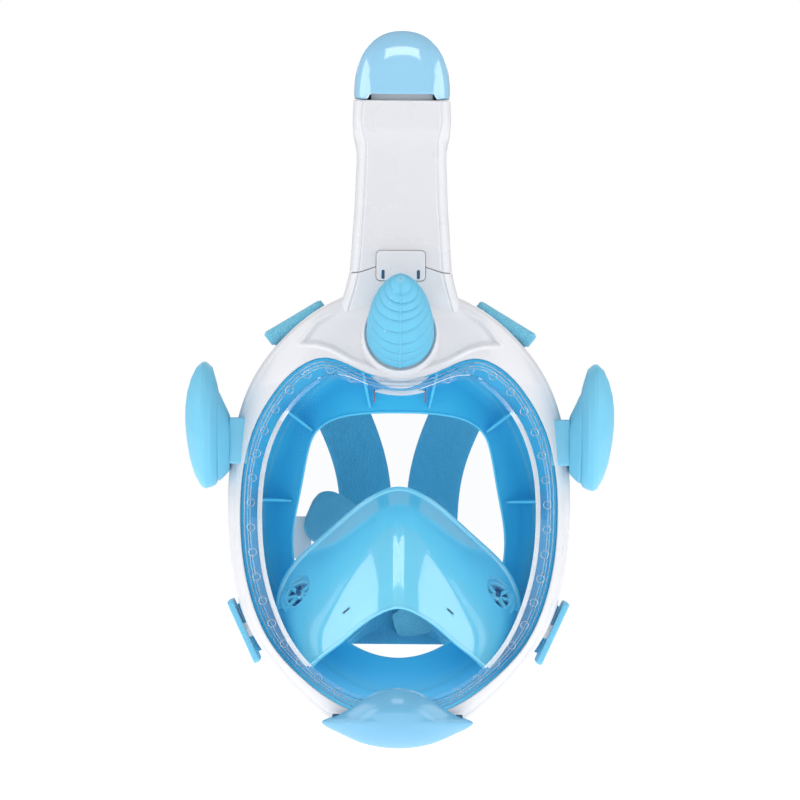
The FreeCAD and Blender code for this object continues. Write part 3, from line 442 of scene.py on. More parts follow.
def paint_low_glow(material, colour, strength, low, high):
    """Painted light: a paler, stronger emission that brightens the thin lowest part of a moulded
    silicone piece, in place of light soaking up through it.
    """
    tree = material.node_tree
    shader = tree.nodes["Principled BSDF"]
    where = node(tree, "TexCoord", "Object")
    height = node(tree, "SeparateXYZ", "Z", Vector=where)
    fade = node(tree, "MapRange", "Result", ("interpolation_type", "SMOOTHSTEP"), From_Min=low * MM,
                From_Max=high * MM, To_Min=1.0, To_Max=0.0, Value=height)
    highlit_tint = shader.inputs["Emission Color"].links[0].from_socket
    glow = shader.inputs["Emission Strength"].default_value
    amount = node(tree, "MapRange", "Result", To_Min=glow, To_Max=strength, Value=fade)
    put(tree, shader, Emission_Color=mixed(tree, fade, highlit_tint, colour), Emission_Strength=amount)


def webbing(name, colour):
    """Woven elastic: ribs along the band crossed by fine picks, from the band's own millimetres."""
    material, tree, nodes = new_material(name)
    weave = node(tree, "UVMap", "UV", ("uv_map", "weave"))

    def math_of(kind, a, b=None):
        made = tree.nodes.new("ShaderNodeMath")
        made.operation = kind
        for socket, value in zip(made.inputs, (a, b)):
            if isinstance(value, bpy.types.NodeSocket):
                tree.links.new(value, socket)
            elif value is not None:
                socket.default_value = value
        return made.outputs[0]

    across, along = node(tree, "SeparateXYZ", slice(2), Vector=weave)
    rib = math_of("SINE", math_of("MULTIPLY", across, 2 * math.pi / RIB_PITCH))
    side = math_of("MULTIPLY", across, math.pi / RIB_PITCH)
    pick = math_of("SINE", math_of("ADD", math_of("MULTIPLY", along, 2 * math.pi / PICK_PITCH), side))
    height = math_of("ADD", math_of("MULTIPLY", rib, 0.6), math_of("MULTIPLY", pick, 0.4))
    shade = node(tree, "MapRange", "Result", From_Min=-1.0, Value=height)
    fuzz = node(tree, "TexNoise", "Fac", Scale=0.35, Detail=6.0, Vector=weave)
    blend = math_of("ADD", math_of("MULTIPLY", shade, 0.55), math_of("MULTIPLY", fuzz, 0.45))
    tint = mixed(tree, blend, [c * 0.78 for c in colour], [min(1.0, c * 1.18) for c in colour])
    bump = node(tree, "Bump", "Normal", Strength=0.9, Distance=0.22 * MM, Height=height)
    put(tree, nodes["Principled BSDF"], Base_Color=tint, Roughness=0.85, Sheen_Weight=0.25,
        Sheen_Roughness=0.5, Normal=bump)
    return material


def clear(name, tint, shine=1.0, haze=0.0, haze_colour=(0.9, 0.93, 0.96), roughness=0.03):
    """Clear plastic: light passes straight through, the surface reflects, and haze whitens it."""
    material, tree, nodes = new_material(name)
    nodes.remove(nodes["Principled BSDF"])

    def mix(factor, a, b):
        made = tree.nodes.new("ShaderNodeMixShader")
        for socket, value in zip(made.inputs, (factor, a, b)):
            tree.links.new(value, socket)
        return made.outputs[0]

    wave = node(tree, "TexNoise", "Fac", Scale=60.0, Vector=node(tree, "TexCoord", "Object"))
    bump = node(tree, "Bump", "Normal", Strength=0.2, Distance=0.3 * MM, Height=wave)
    through = node(tree, "BsdfTransparent", Color=(*tint, 1))
    gloss = node(tree, "BsdfGlossy", Roughness=roughness, Normal=bump)
    amount = tree.nodes.new("ShaderNodeMath")
    amount.operation = "MULTIPLY"
    amount.inputs[1].default_value = shine
    tree.links.new(node(tree, "Fresnel", "Fac", IOR=1.45), amount.inputs[0])
    last = mix(amount.outputs[0], through, gloss)
    if haze:
        milky = node(tree, "BsdfDiffuse", Color=(*haze_colour, 1))
        cloud = node(tree, "MapRange", "Result", To_Min=haze * 0.75, To_Max=haze * 1.25, Value=wave)
        last = mix(cloud, last, milky)
    tree.links.new(last, nodes["Material Output"].inputs["Surface"])
    return material


# Painted light in the finishes below: edge pales sharp edges as a painted highlight, crease darkens
# hollows as painted shade (the white plastic gets neither), and glow is painted emission.
WHITE = moulded("white_plastic", (0.76, 0.76, 0.79), 0.28, coat=0.12, grain=0.02, mottle=0.012,
                edge=0.0, crease=1.0)
# painted light: glow gives the skirt a faint emission, and the next line paints a paler glow that grows
# towards its bottom
SKIRT = moulded("skirt_silicone", (0.068, 0.57, 0.85), 0.40, grain=0.03, mottle=0.05, glow=0.04)
paint_low_glow(SKIRT, (0.30, 0.85, 1.0), 0.26, -86.0, -58.0)
# painted light: glow 0.10 gives the hood an emission on top of what the lamps light
POCKET = moulded("pocket_silicone", (0.15, 0.64, 0.87), 0.2, coat=1.0, grain=0.004, mottle=0.02,
                 glow=0.10)
CAP = moulded("cap_plastic", (0.30, 0.64, 0.89), 0.16, coat=1.0, grain=0.004, mottle=0.02)
HORN = moulded("horn_silicone", (0.13, 0.51, 0.73), 0.5, grain=0.04, mottle=0.03, edge=0.15)
EAR = moulded("ear_silicone", (0.17, 0.57, 0.80), 0.48, grain=0.04, mottle=0.04, edge=0.15)
COVER = moulded("cover_plastic", (0.15, 0.45, 0.69), 0.3, coat=0.3, grain=0.02, mottle=0.02)
CLIP = moulded("clip_plastic", (0.16, 0.56, 0.82), 0.38, grain=0.03, mottle=0.03)
INNER = moulded("inner_plastic", (0.62, 0.66, 0.70), 0.4, grain=0.03, mottle=0.03)
# painted shade: a near-black blue for dark slabs that stand for the shade inside slits and slots
DARK = moulded("slot_shadow", (0.02, 0.09, 0.17), 0.6, grain=0.03, mottle=0.1, edge=0.0)
GREY = moulded("grey_buckle", (0.62, 0.64, 0.68), 0.4, grain=0.03, mottle=0.04)
RUBBER = moulded("seal_rubber", (0.55, 0.62, 0.68), 0.6, grain=0.04, mottle=0.05)
FOAM = moulded("float_foam", (0.72, 0.75, 0.78), 0.8, grain=0.2, grain_size=0.8, mottle=0.05)
STEEL = moulded("stainless_steel", (0.62, 0.63, 0.65), 0.24, grain=0.01, mottle=0.04)
STEEL.node_tree.nodes["Principled BSDF"].inputs["Metallic"].default_value = 1.0
# Three copies of one webbing, each painted for its light: the first a painted shade for the bands
# behind the head, the second a painted lit copy for the wraps in front, the third a painted middle tone
# for the curled end and corner.
STRAP_SHADED = webbing("strap_webbing", (0.045, 0.40, 0.68))
STRAP_LIT = webbing("strap_webbing_painted_lit", (0.21, 0.67, 1.0))
STRAP_END = webbing("strap_webbing_end", (0.10, 0.46, 0.68))
FLAP = clear("clear_silicone", (0.30, 0.50, 0.70), shine=1.0, haze=0.10, haze_colour=(0.2, 0.4, 0.6))
LENS = clear("clear_lens", (0.985, 0.99, 0.995), shine=0.10)
LENS_WALL = clear("clear_lens_wall", (0.93, 0.97, 1.0), shine=0.7, haze=0.015)
LENS_BAND = clear("clear_lens_band", (0.92, 0.96, 1.0), shine=2.5, haze=0.5)
LENS_LINE = clear("clear_lens_line", (0.85, 0.93, 1.0), shine=3.0, haze=0.3)
GATE = clear("clear_lens_gate", (0.80, 0.62, 0.60), shine=0.8, haze=0.25, haze_colour=(0.6, 0.35, 0.33))


# ------------------------------------------------------------------ frame

def front_frame():
    """The white shell: a rounded outer edge, a bezel round the lens and the sunk forehead panel."""
    edge, hole = outline(FRAME_EDGE), outline(LENS_HOLE)
    rings = [front_ring(edge, LIP + 21)]
    for turn in np.linspace(0, math.pi / 2, 8):
        grown = outline(FRAME_EDGE, -2.8 * (1 - math.cos(turn)))
        rings.append(front_ring(grown, LIP + 7 - 4 * math.sin(turn)))
    inner_edge, lip_edge = outline(FRAME_EDGE, -2.8), outline(LENS_HOLE, 0.4)
    panel = np.array(PANEL + [(-x, z) for x, z in reversed(PANEL[:-1])]) * SCALE
    for share in np.linspace(0, 1, 62)[1:]:
        points = inner_edge + (lip_edge - inner_edge) * share
        row = front_ring(points, LIP + 3 - 3 * math.sin(share * math.pi / 2)**0.8)
        inside = signed_depth(points, panel)
        fade = 1 - smoothstep((points[:, 1] - 106) / 10)
        sunk = 2.3 * smoothstep((inside + 0.2) / 2.0) - 0.5 * np.exp(-((inside + 0.9) / 0.8)**2)
        row[:, 1] += sunk * fade
        rings.append(row)
    rings.append(front_ring(hole, LIP + 0.6))
    rings.append(front_ring(hole, LIP + 2.4))
    rings.append(front_ring(outline(FRAME_EDGE, -2.7), LIP + 6))
    rings.append(front_ring(outline(FRAME_EDGE, -2.4), LIP + 9))
    rings.append(front_ring(outline(FRAME_EDGE, -2.4), LIP + 21))
    shell = loft("frame_shell", rings, WHITE, closed=True, sharp=40)
    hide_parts("front_frame")


def rear_frame():
    """The white ring that clamps the skirt from behind, with a seam line to the front shell."""
    rings = [front_ring(outline(FRAME_EDGE, grow), LIP + depth) for grow, depth in
             ((-0.4, 21.6), (-0.4, 31), (-3.0, 35), (-5.0, 35), (-5.0, 33), (-2.8, 30), (-2.8, 21.6))]
    shell = loft("rear_shell", fillet(rings, (0.5, 2.5, 1.2, 0.6, 0.4, 1.0, 0.3)), WHITE, closed=True)
    cut(shell, front_slab(rounded_box(32, 30, 3) + (0, 118), -85, -10, 0.5))
    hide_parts("rear_frame")
    for i, (x, z, radius) in enumerate(SCREWS):
        depth = front_ring(np.array([[x, z]], float), LIP + 24)[0, 1]
        at = frame_of((x, depth, z), (0, 1, 0))
        profile = [(0.01, 0), (radius - 0.3, 0), (radius, 0.3), (radius, 2.1), (radius - 0.3, 2.4),
                   (2.6, 2.4)]
        loft(f"screw_tab_{i + 1}", at(turned(profile, 48)), WHITE)


# Turns (x, z, y) columns into (x, y, z): slabs are drawn in the front view and thickened along Y.
SWAP_YZ = np.array([[1, 0, 0], [0, 0, 1], [0, 1, 0]], float)


def front_slab(shape, low, high, edge):
    """A slab of a front-view shape between two depths."""
    return np.array(slab_rings(shape, low, high, edge)) @ SWAP_YZ


def snorkel_section(width, depth, middle_y, height, tilt=0.0, inset=0.0, crease=5.0, crown=0.35):
    """A section of the snorkel: a flat front panel between two creases, rounded behind."""
    a, b = width / 2 - inset, depth / 2 - inset
    panel, corner, back = a - crease, 7.0, min(10.0, b - 1)
    half = [(x, -b - crown * (1 - (x / panel)**2)) for x in np.linspace(0, panel - 0.7, 9)]
    half += [(panel - 0.1, -b + 0.42), (panel + 0.35, -b + 0.42)]
    start, first = np.array((panel + 0.9, -b + 0.1)), np.array((panel + 2.6, -b + 0.7))
    half.append(tuple(start))
    second, end = np.array((a, -b + 2.6)), np.array((a, -b + corner))
    for t in np.linspace(0, 1, 10)[1:]:
        half.append(tuple((1 - t)**3 * start + 3 * t * (1 - t)**2 * first + 3 * t * t * (1 - t) * second
                          + t**3 * end))
    half += [(a, y) for y in np.linspace(-b + corner, b - back, 6)[1:]]
    for turn in np.linspace(0, math.pi / 2, 10)[1:]:
        half.append((a - back + back * math.cos(turn), b - back + back * math.sin(turn)))
    half += [(x, b) for x in np.linspace(a - back, 0, 5)[1:]]
    whole = half + [(-x, y) for x, y in reversed(half[1:-1])]
    p = np.array(whole)
    return np.column_stack([p[:, 0], middle_y + p[:, 1], height - tilt * p[:, 1]])


def seam_dip(ring, deep=3.3):
    """Lowers a snorkel ring's front corners, where the seam between socket and tube runs down."""
    front = smoothstep((NECK_Y + 8 - ring[:, 1]) / 20)
    ring[:, 2] -= deep * smoothstep((np.abs(ring[:, 0]) - 9) / 14) * front
    return ring


def latch_space():
    """The recess across socket and tube that the latch lies in."""
    shape = rounded_box(LATCH_HALF_WIDTH + 0.28, LATCH_HALF_HEIGHT + 0.28, 2.4)
    return front_slab(shape + (0, LATCH_Z), -90, -63.6, 0.05)


LATCH_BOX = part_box("tube_latch")
LATCH_HALF_WIDTH = (LATCH_BOX[1].x - LATCH_BOX[0].x) / 2 / MM
LATCH_HALF_HEIGHT = (LATCH_BOX[1].z - LATCH_BOX[0].z) / 2 / MM
LATCH_Z = (LATCH_BOX[1].z + LATCH_BOX[0].z) / 2 / MM


def neck():
    """The socket that the snorkel stands on, flaring into the forehead."""
    rows = [(100, 66, -58.0, -38), (105, 64.0, -62.0, -37), (110, 61.8, -65.6, -36.5),
            (114, 59.6, -68.2, -35.5), (118, 57.4, -69.6, -34.6), (122, 55.0, -70.0, -34.2),
            (127, 52.6, -70.0, -34),
            (NECK_TOP - 0.3, 51.2, -70.0, -34)]
    outer = [snorkel_section(w, back - front, (front + back) / 2, z) for z, w, front, back in rows]
    top = seam_dip(snorkel_section(50.4, 35.2, NECK_Y, NECK_TOP))
    seam_dip(outer[-1])
    bore_top = seam_dip(snorkel_section(43, 24, -50, NECK_TOP, crease=6))
    bore = snorkel_section(43, 24, -50, 100, crease=6)
    socket = loft("neck_socket", outer + [top, bore_top, bore], WHITE, closed=True, sharp=20)
    cut(socket, latch_space())


def horn_ring(ring):
    """A ring of the horn or its collar in the object's frame. The base stands flat against the
    forehead, so its lower side reaches down and back."""
    placed = frame_of(HORN_BASE, HORN_OUT)(ring)
    near = 1 - smoothstep((ring[0, 2] - 5.6) / 32)
    low = np.clip((1 - ring[:, 1] / 16.7) / 2, 0, 1.2) * near
    placed[:, 2] -= 5.3 * low
    placed[:, 1] += 5.0 * low
    return placed


def collar():
    """The thin raised ring round the horn's base, and the floor the horn is seated on."""
    profile = [(17.3, -7), (17.3, 5.6), (17.6, 6.4), (18.2, 6.7), (18.8, 6.4), (19.1, 5.6),
               (19.3, 3.0), (19.8, 0.6), (20.2, -7)]
    loft("horn_collar", [horn_ring(r) for r in turned(profile, 128)], WHITE, closed=True)
    floor = [(5.2, -3), (17.4, -3), (17.4, 5.0), (5.2, 5.0)]
    loft("horn_seat_floor", [horn_ring(r) for r in turned(floor, 96)], WHITE, closed=True)


def hinge_arc(start, count):
    """Points of the hinge's round side, from an angle up to its top."""
    return [(KNUCKLE_RADIUS * math.cos(t), KNUCKLE_RADIUS * math.sin(t))
            for t in np.linspace(start, math.pi / 2, count)]


def hinge_lugs():
    """The two lugs that carry the snorkel's pin."""
    low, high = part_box("snorkel_pivot")
    y, z = (low.y + high.y) / 2 / MM, (low.z + high.z) / 2 / MM
    for name, side in SIDES:
        at = frame_of((side * 14.0 - 2.2, y, z), (1, 0, 0), (0, 1, 0))
        shape = hinge_arc(-math.pi / 2, 14)
        shape += [(-2.0, 3.0), (-6.8, -3.2), (-6.8, -8.6), (0, -8.6)]
        loft(f"hinge_lug_{name}", at(slab_rings(shape, 0, 4.4, 0.4)), WHITE)


# ------------------------------------------------------------------ lens and skirt

def lens():
    """The clear tray: flange, sloped wall, bright turned edge and a thin front."""
    flange = LIP + 4.8
    walls = [front_ring(outline(LENS_HOLE, 1.8), flange), front_ring(outline(LENS_HOLE, -1.2), flange),
             front_ring(outline(LENS_FACE, 1.0), LENS_FRONT + 0.9)]
    wall = loft("lens_wall", fillet(walls, (0, 1.0, 0)), LENS_WALL, caps=False)
    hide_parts("lens")
    band = [(1.0, 0.9), (0.5, 0.3), (-0.2, 0.05), (-0.8, 0.0), (-1.4, 0.0), (-1.4, 1.6), (-0.6, 1.9),
            (0.6, 2.4)]
    band = [front_ring(outline(LENS_FACE, grow), LENS_FRONT + depth) for grow, depth in band]
    turned_edge = loft("lens_band", band,
                       LENS_BAND, closed=True)
    turned_edge.data.materials.append(LENS_WALL)
    for face in turned_edge.data.polygons:
        height = face.center.z / MM
        face.material_index = 1 if height > 74 - 0.25 * abs(face.center.x / MM) or height < -66 else 0
    edge = outline(LENS_FACE, -1.3)
    middle = np.array((0, -3.0))
    rows = [front_ring(middle + (edge - middle) * s, LENS_FRONT + 0.5)
            for s in np.linspace(1, 0.02, 24)]
    front = loft("lens_front", rows, LENS)
    cut_hole(front)
    lines = (-2.0, 4.2, 0.35), (-3.7, 3.4, 0.28), (-5.0, 2.2, 0.22)
    for i, (grow, depth, radius) in enumerate(lines):
        ring_line(f"lens_line_{i + 1}", outline(LENS_HOLE, grow), LIP + depth, radius)
    pips()
    for name, side in SIDES:
        mark = rounded_box(0.45, 3.4, 0.4, 4) + (side * 12.6, 68.6)
        depth = front_ring(np.array([[side * 12.6, 68.6]]), LENS_FRONT)[0, 1]
        rings = front_slab(mark, depth + 0.2, depth + 1.4, 0.2)
        loft(f"lens_gate_{name}", rings, GATE)


def cut_hole(front):
    """Leaves the chin valve's hole in the lens: its faces there are dropped."""
    work = bmesh.new()
    work.from_mesh(front.data)
    middle = Vector((0, 0, -89.0 * MM))
    hole = [f for f in work.faces
            if math.hypot(f.calc_center_median().x, f.calc_center_median().z - middle.z) < 4.4 * MM]
    bmesh.ops.delete(work, geom=hole, context="FACES")
    work.to_mesh(front.data)
    work.free()


def ring_line(name, points, depth, radius):
    """A fine moulded bead that follows the lens's edge."""
    centre = front_ring(points, depth)
    rings = []
    for turn in circle(8):
        shifted = front_ring(points * (1 + radius * math.cos(turn) / 80), depth)
        shifted[:, 1] = centre[:, 1] + radius * math.sin(turn)
        rings.append(shifted)
    loft(name, rings, LENS_LINE, closed=True)


def pips():
    """Round ejector marks at even steps along the lens's wall."""
    path = front_ring(outline(LENS_HOLE, -5.4), LIP + 1.2)
    run = distance_along(path)
    points, faces = [], []
    for step in range(int(run[-1] // 12.5)):
        at = np.array([np.interp(step * 12.5, run, path[:, k]) for k in range(3)])
        if at[2] > 70 and abs(at[0]) < 20:
            continue
        turn = circle(28)
        tube = circle(8)
        reach = 1.9 + 0.26 * np.cos(tube)[:, None]
        ring = np.stack([at[0] + reach * np.cos(turn), at[1] + 0.26 * np.sin(tube)[:, None] + 0 * turn,
                         at[2] + reach * np.sin(turn)], 2)
        start = len(points) * 8 * 28
        points.append(ring.reshape(-1, 3))
        faces += [tuple(i + start for i in f) for f in grid_faces(8, 28, close_rows=True)]
    piece("lens_pips", np.concatenate(points), faces, LENS_LINE)


def skirt():
    """The silicone skirt: a deep channel from the lens back to the face, and its folded lip."""
    front, wall = LIP + 7.4, 2.4
    rings = [front_ring(outline(LENS_HOLE, 1.8), front), front_ring(outline(LENS_HOLE, 1.8), front + 7),
             seal_ring(outline(SEAL_EDGE), 0), seal_ring(outline(SEAL_EDGE, -7), -0.6),
             seal_ring(outline(FACE_OPENING), -9), seal_ring(outline(FACE_OPENING), -9 - wall),
             seal_ring(outline(SEAL_EDGE, -8), -0.6 - wall),
             seal_ring(outline(SEAL_EDGE, -wall), -wall - 0.8),
             front_ring(outline(LENS_HOLE, 1.8 - wall), front + 7),
             front_ring(outline(LENS_HOLE, 1.8 - wall), front)]
    rounds = (0.4, 2.0, 4.0, 3.0, 1.1, 1.1, 3.0, 5.0, 2.0, 0.4)
    made = loft("skirt", fillet(rings, rounds, 6), SKIRT, closed=True)
    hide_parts("face_skirt")
    bead = [seal_ring(outline(FACE_OPENING, 0.4 + 0.8 * math.cos(t)), -10.2 + 1.5 * math.sin(t))
            for t in circle(12)]
    loft("skirt_lip_bead", bead, SKIRT, closed=True)
    ribs = [((15, 62.5), (18.6, 80)), ((44, 50.5), (57, 60.5)), ((54.5, 15), (70, 15.5)),
            ((48, -33), (62, -40))]
    for i, (inner, outer) in enumerate(ribs):
        for name, side in SIDES:
            rib(f"skirt_rib_{name}_{i + 1}", inner, outer, side)


def rib(name, inner, outer, side):
    """A thin fin that props the face lip off the skirt's wall."""
    a, b = np.array(inner, float) * (side, 1), np.array(outer, float) * (side, 1)
    across = unit(np.array((-(b - a)[1], (b - a)[0])))
    rings = []
    for share in np.linspace(0, 1, 14):
        p = a + (b - a) * share
        back = seal_ring(p[None], -9.5)[0, 1] + 4.5 * share
        ahead = back - 2.2 - 22 * smoothstep(share * 0.9)
        depths = np.linspace(back, ahead, 6)
        left = [(*(p + across * 0.75), y) for y in depths]
        nose = [(*(p + across * 0.5), ahead - 0.5), (*(p - across * 0.5), ahead - 0.5)]
        right = [(*(p - across * 0.75), y) for y in depths[::-1]]
        rings.append(np.array(left + nose + right) @ SWAP_YZ)
    loft(name, rings, SKIRT)


# ------------------------------------------------------------------ nose and mouth pocket

def pocket_grid(along=81, across=37):
    """Points on the pocket's outside: rows from the face edge forward to the lip."""
    arcs = [open_curve([(-x, y, z) for x, y, z in arc[:-1]] + list(reversed(arc)), along)
            for arc in POCKET_ARCS]
    columns = [open_curve([arc[i] for arc in arcs], across) for i in range(along)]
    return np.array(columns).transpose(1, 0, 2)


def grid_normals(grid):
    """Unit normals of a grid of points, towards the front."""
    u, v = np.gradient(grid, axis=0), np.gradient(grid, axis=1)
    n = unit(np.cross(u, v))
    return n if n[..., 1].mean() < 0 else -n


def pocket():
    """The glossy hood over nose and mouth, with its rim, lip, valve wings and slots."""
    outer = pocket_grid()
    normals = grid_normals(outer)
    inner = outer - normals * 2.0
    sections = np.concatenate([outer, inner[::-1]])
    hood = loft("pocket_hood", sections.transpose(1, 0, 2), POCKET, sharp=50)
    for name, side in SIDES:
        out = (side * INHALE_OUT[0], INHALE_OUT[1], INHALE_OUT[2])
        at = frame_of((side * INHALE_AT[0], *INHALE_AT[1:]), out)
        cut(hood, at(turned([(8.9, -12), (8.9, 14)], 64)))
        boss = [(8.7, -2.4), (11.0, -2.4), (11.5, -1.6), (11.5, 0.3), (11.0, 0.9), (10.4, 1.1),
                (9.2, 1.1), (8.7, 0.7)]
        loft(f"valve_boss_{name}", at(turned(boss, 72)), POCKET, closed=True)
        for i, turn in enumerate((0.7, 0.7 + math.pi / 2)):
            bar = rounded_box(9.6, 1.0, 0.8, 5) @ np.array([[math.cos(turn), math.sin(turn)],
                                                            [-math.sin(turn), math.cos(turn)]])
            loft(f"valve_guard_{name}_{i + 1}", at(slab_rings(bar, 0.7, 2.0, 0.4)), POCKET)
        hub = [(0.02, 2.4), (1.6, 2.4), (2.3, 1.9), (2.5, 0.9), (0.02, 0.9)]
        loft(f"valve_hub_{name}", at(turned(hub, 40)), POCKET)
    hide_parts("nose_pocket")
    bead("pocket_rim", outer[0], normals[0], 1.6)
    bead("pocket_lip", outer[-1], normals[-1], 0.9)
    for name, side in SIDES:
        slot_mark(f"pocket_slot_{name}", outer, normals, side)


def bead(name, line, normals, radius):
    """A round bead along an edge of the hood, tapered at its ends."""
    along = unit(np.gradient(line, axis=0))
    side = np.cross(along, normals)
    ends = np.minimum(1, np.minimum(np.arange(len(line)), np.arange(len(line))[::-1]) / 3 + 0.2)
    rings = []
    for p, n, s, grow in zip(line - normals * radius * 0.1, normals, side, ends):
        turn = circle(14)
        rings.append(p + radius * grow * (np.outer(np.cos(turn), n) + np.outer(np.sin(turn), s)))
    loft(name, rings, POCKET)


def slot_mark(name, outer, normals, side):
    """The small drain slit at each side of the hood."""
    target = np.array((side * 26.0, -38.5))
    flat = outer.reshape(-1, 3)
    nearest = np.argmin(np.hypot(flat[:, 0] - target[0], flat[:, 2] - target[1]))
    at = frame_of(flat[nearest], normals.reshape(-1, 3)[nearest], (1, 0, side * -0.62))
    rim = slab_rings(rounded_box(3.0, 1.25, 1.2, 6), -1.4, 0.25, 0.25)
    loft(f"{name}_rim", at(rim), POCKET)
    # painted shade: the slit is a dark slab inside the rim, not an opening
    gap = slab_rings(rounded_box(2.2, 0.55, 0.5, 6), -1.0, 0.34, 0.08)
    loft(name, at(gap), DARK, slot="pocket_silicone")


def chin_cover():
    """The pillow-shaped leaf over the drain valve."""
    edge = closed_curve(CHIN_EDGE)
    middle = np.array((0, -93.5))

    def ring(share, depth):
        p = middle + (edge - middle) * share
        under = 1.5 * np.log1p(np.exp((-88.0 - p[:, 1]) / 1.5))
        return np.stack([p[:, 0], depth + 0.9 * wrap(p[:, 0]) + 0.45 * under, p[:, 1] + 1.2], 1)

    edge_steps = (0.93, -88.0), (0.99, -88.0), (1.0, -88.6), (1.0, -89.6), (0.99, -90.1)
    rings = [ring(share, depth) for share, depth in edge_steps]
    rings += [ring(s, -90.1 - 10.2 * (1 - s**2.1)**0.8) for s in np.linspace(0.97, 0.002, 26)]
    under = [ring(s, -88.6 - 10.0 * (1 - s**2.1)**0.8) for s in np.linspace(0.002, 0.93, 14)]
    made = loft("chin_cover", rings + under, COVER, closed=True, sharp=40)
    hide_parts("chin_valve_cover")
    # painted shade: a dark slab at each side of the cover
    for name, side in SIDES:
        tab = rounded_box(1.8, 1.0, 0.5, 4) + (side * 30.5, -90.2)
        depth = ring(1.0, -89.0)[:, 1].min() + 0.9 * float(wrap(np.array(30.5)))
        rings = front_slab(tab, depth, depth + 2.5, 0.3)
        loft(f"chin_tab_{name}", rings, DARK, slot="cover_plastic")


# ------------------------------------------------------------------ snorkel

def blurred(height, table, column, spread=2.2):
    """A section size at a height, eased between the stations."""
    steps = np.linspace(-2, 2, 17)
    weight = np.exp(-steps**2)
    heights = [row[0] for row in table]
    values = np.interp(height + steps * spread, heights, [row[column] for row in table])
    return float((values * weight).sum() / weight.sum())


def axis_y(height):
    """The middle of the leaning tube at a height."""
    return NECK_Y + TUBE_LEAN * max(0.0, height - NECK_TOP)


def seam_tilt(height):
    """How much a section slopes: level at the socket, square to the tube, then down at the cap."""
    return float(np.interp(height, (134, 152, 196, 219, 226, 240), (0, 0.2, 0.15, -0.16, -0.08, 0.2)))


def tube():
    """The snorkel's tube with its flat front panel and the bulge under the cap."""
    heights = np.concatenate([[133.35], np.linspace(133.9, 219.0, 110), [219.4]])

    def section(height, inset):
        width, depth = blurred(height, TUBE_SECTIONS, 1), blurred(height, TUBE_SECTIONS, 2)
        shape = snorkel_section(width, depth, axis_y(height), height, seam_tilt(height), inset)
        lowered = seam_dip(shape.copy())
        share = 1 - smoothstep((height - 133.9) / 14)
        return shape + (lowered - shape) * share

    outer = [section(h, 0.45 if h in (heights[0], heights[-1]) else 0.0) for h in heights]
    inner = [section(h, 2.2) for h in np.linspace(219.4, 133.35, 20)]
    made = loft("tube_shell", outer + inner, WHITE, closed=True, body="snorkel", sharp=20)
    cut(made, latch_space())
    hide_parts("snorkel_tube")
    low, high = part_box("snorkel_pivot")
    y, z = (low.y + high.y) / 2 / MM, (low.z + high.z) / 2 / MM
    at = frame_of((-11.3, y, z), (1, 0, 0), (0, 1, 0))
    shape = hinge_arc(-math.pi * 0.85, 20)
    shape += [(-1.5, 6.6), (-6.5, 6.6), (-6.5, 0.2)]
    loft("tube_knuckle", at(slab_rings(shape, 0, 22.6, 0.4)), WHITE, body="snorkel")


def cap():
    """The glossy dome of the dry top, with the air inlet notched into its front edge."""
    def section(share, inset):
        height = CAP_BASE + (CAP_TOP - CAP_BASE - inset) * share
        swell = max(0.004, 1 - share**2.4)**(1 / 2.4)
        width, depth = (24.2 - inset) * swell, (16.8 - inset) * swell
        rounding = 2 / (3.4 - 1.3 * share)
        angle = circle(96) - math.pi / 2
        x = np.sign(np.cos(angle)) * np.abs(np.cos(angle))**rounding * width
        y = np.sign(np.sin(angle)) * np.abs(np.sin(angle))**rounding * depth
        notch = smoothstep((17.6 - np.abs(x)) / 1.8) * (y < 0) * np.clip(1 - 3.5 * share, 0, 1)
        z = height - seam_tilt(height) * y + 2.9 * notch
        return np.column_stack([x, axis_y(height) + y, z])

    shares = np.sin(np.linspace(0, math.pi / 2, 56))
    outer = [section(s, 0.25 if s == 0 else 0.0) for s in shares]
    top = outer[-1].mean(0)
    outer.append(top + (outer[-1] - top) * 0.02)
    inner = [section(s, 1.8) for s in shares[::-3]]
    inner.insert(0, inner[0].mean(0) + (inner[0] - inner[0].mean(0)) * 0.02)
    made = loft("cap_dome", outer + inner, CAP, closed=True, body="snorkel", sharp=40)
    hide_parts("dry_top_cap")
    middle = axis_y(221)
    bars = [(x, middle - 12.6 - 0.9 * math.cos(x / 9)) for x in np.linspace(-15.5, 15.5, 40)]
    grille = np.array(bars + [(x, y + 1.4) for x, y in reversed(bars)])
    rings = [np.column_stack([grille, np.full(len(grille), z)]) for z in (215.5, 220.5, 225.0)]
    loft("cap_inlet", rings, INNER, body="snorkel")


def latch():
    """The release tab on the front of the socket, with two dark slot marks."""
    front = LATCH_BOX[0].y / MM
    shape = rounded_box(LATCH_HALF_WIDTH, LATCH_HALF_HEIGHT, 2.2) + (0, LATCH_Z)
    plate = front_slab(shape, front - 0.9, front + 2.6, 0.5)
    made = loft("latch_tab", plate, WHITE, body="latch")
    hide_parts("tube_latch")
    # painted shade: two dark slabs set into the tab's face stand for its slots
    for i, (x, z) in enumerate(((-8.8, 129.0), (8.8, 129.0))):
        slot = rounded_box(0.8, 2.3, 0.7, 5) + (x, z)
        rings = front_slab(slot, front - 1.0, front - 0.2, 0.1)
        loft(f"latch_slot_{i + 1}", rings, DARK, slot="white_plastic", body="latch")


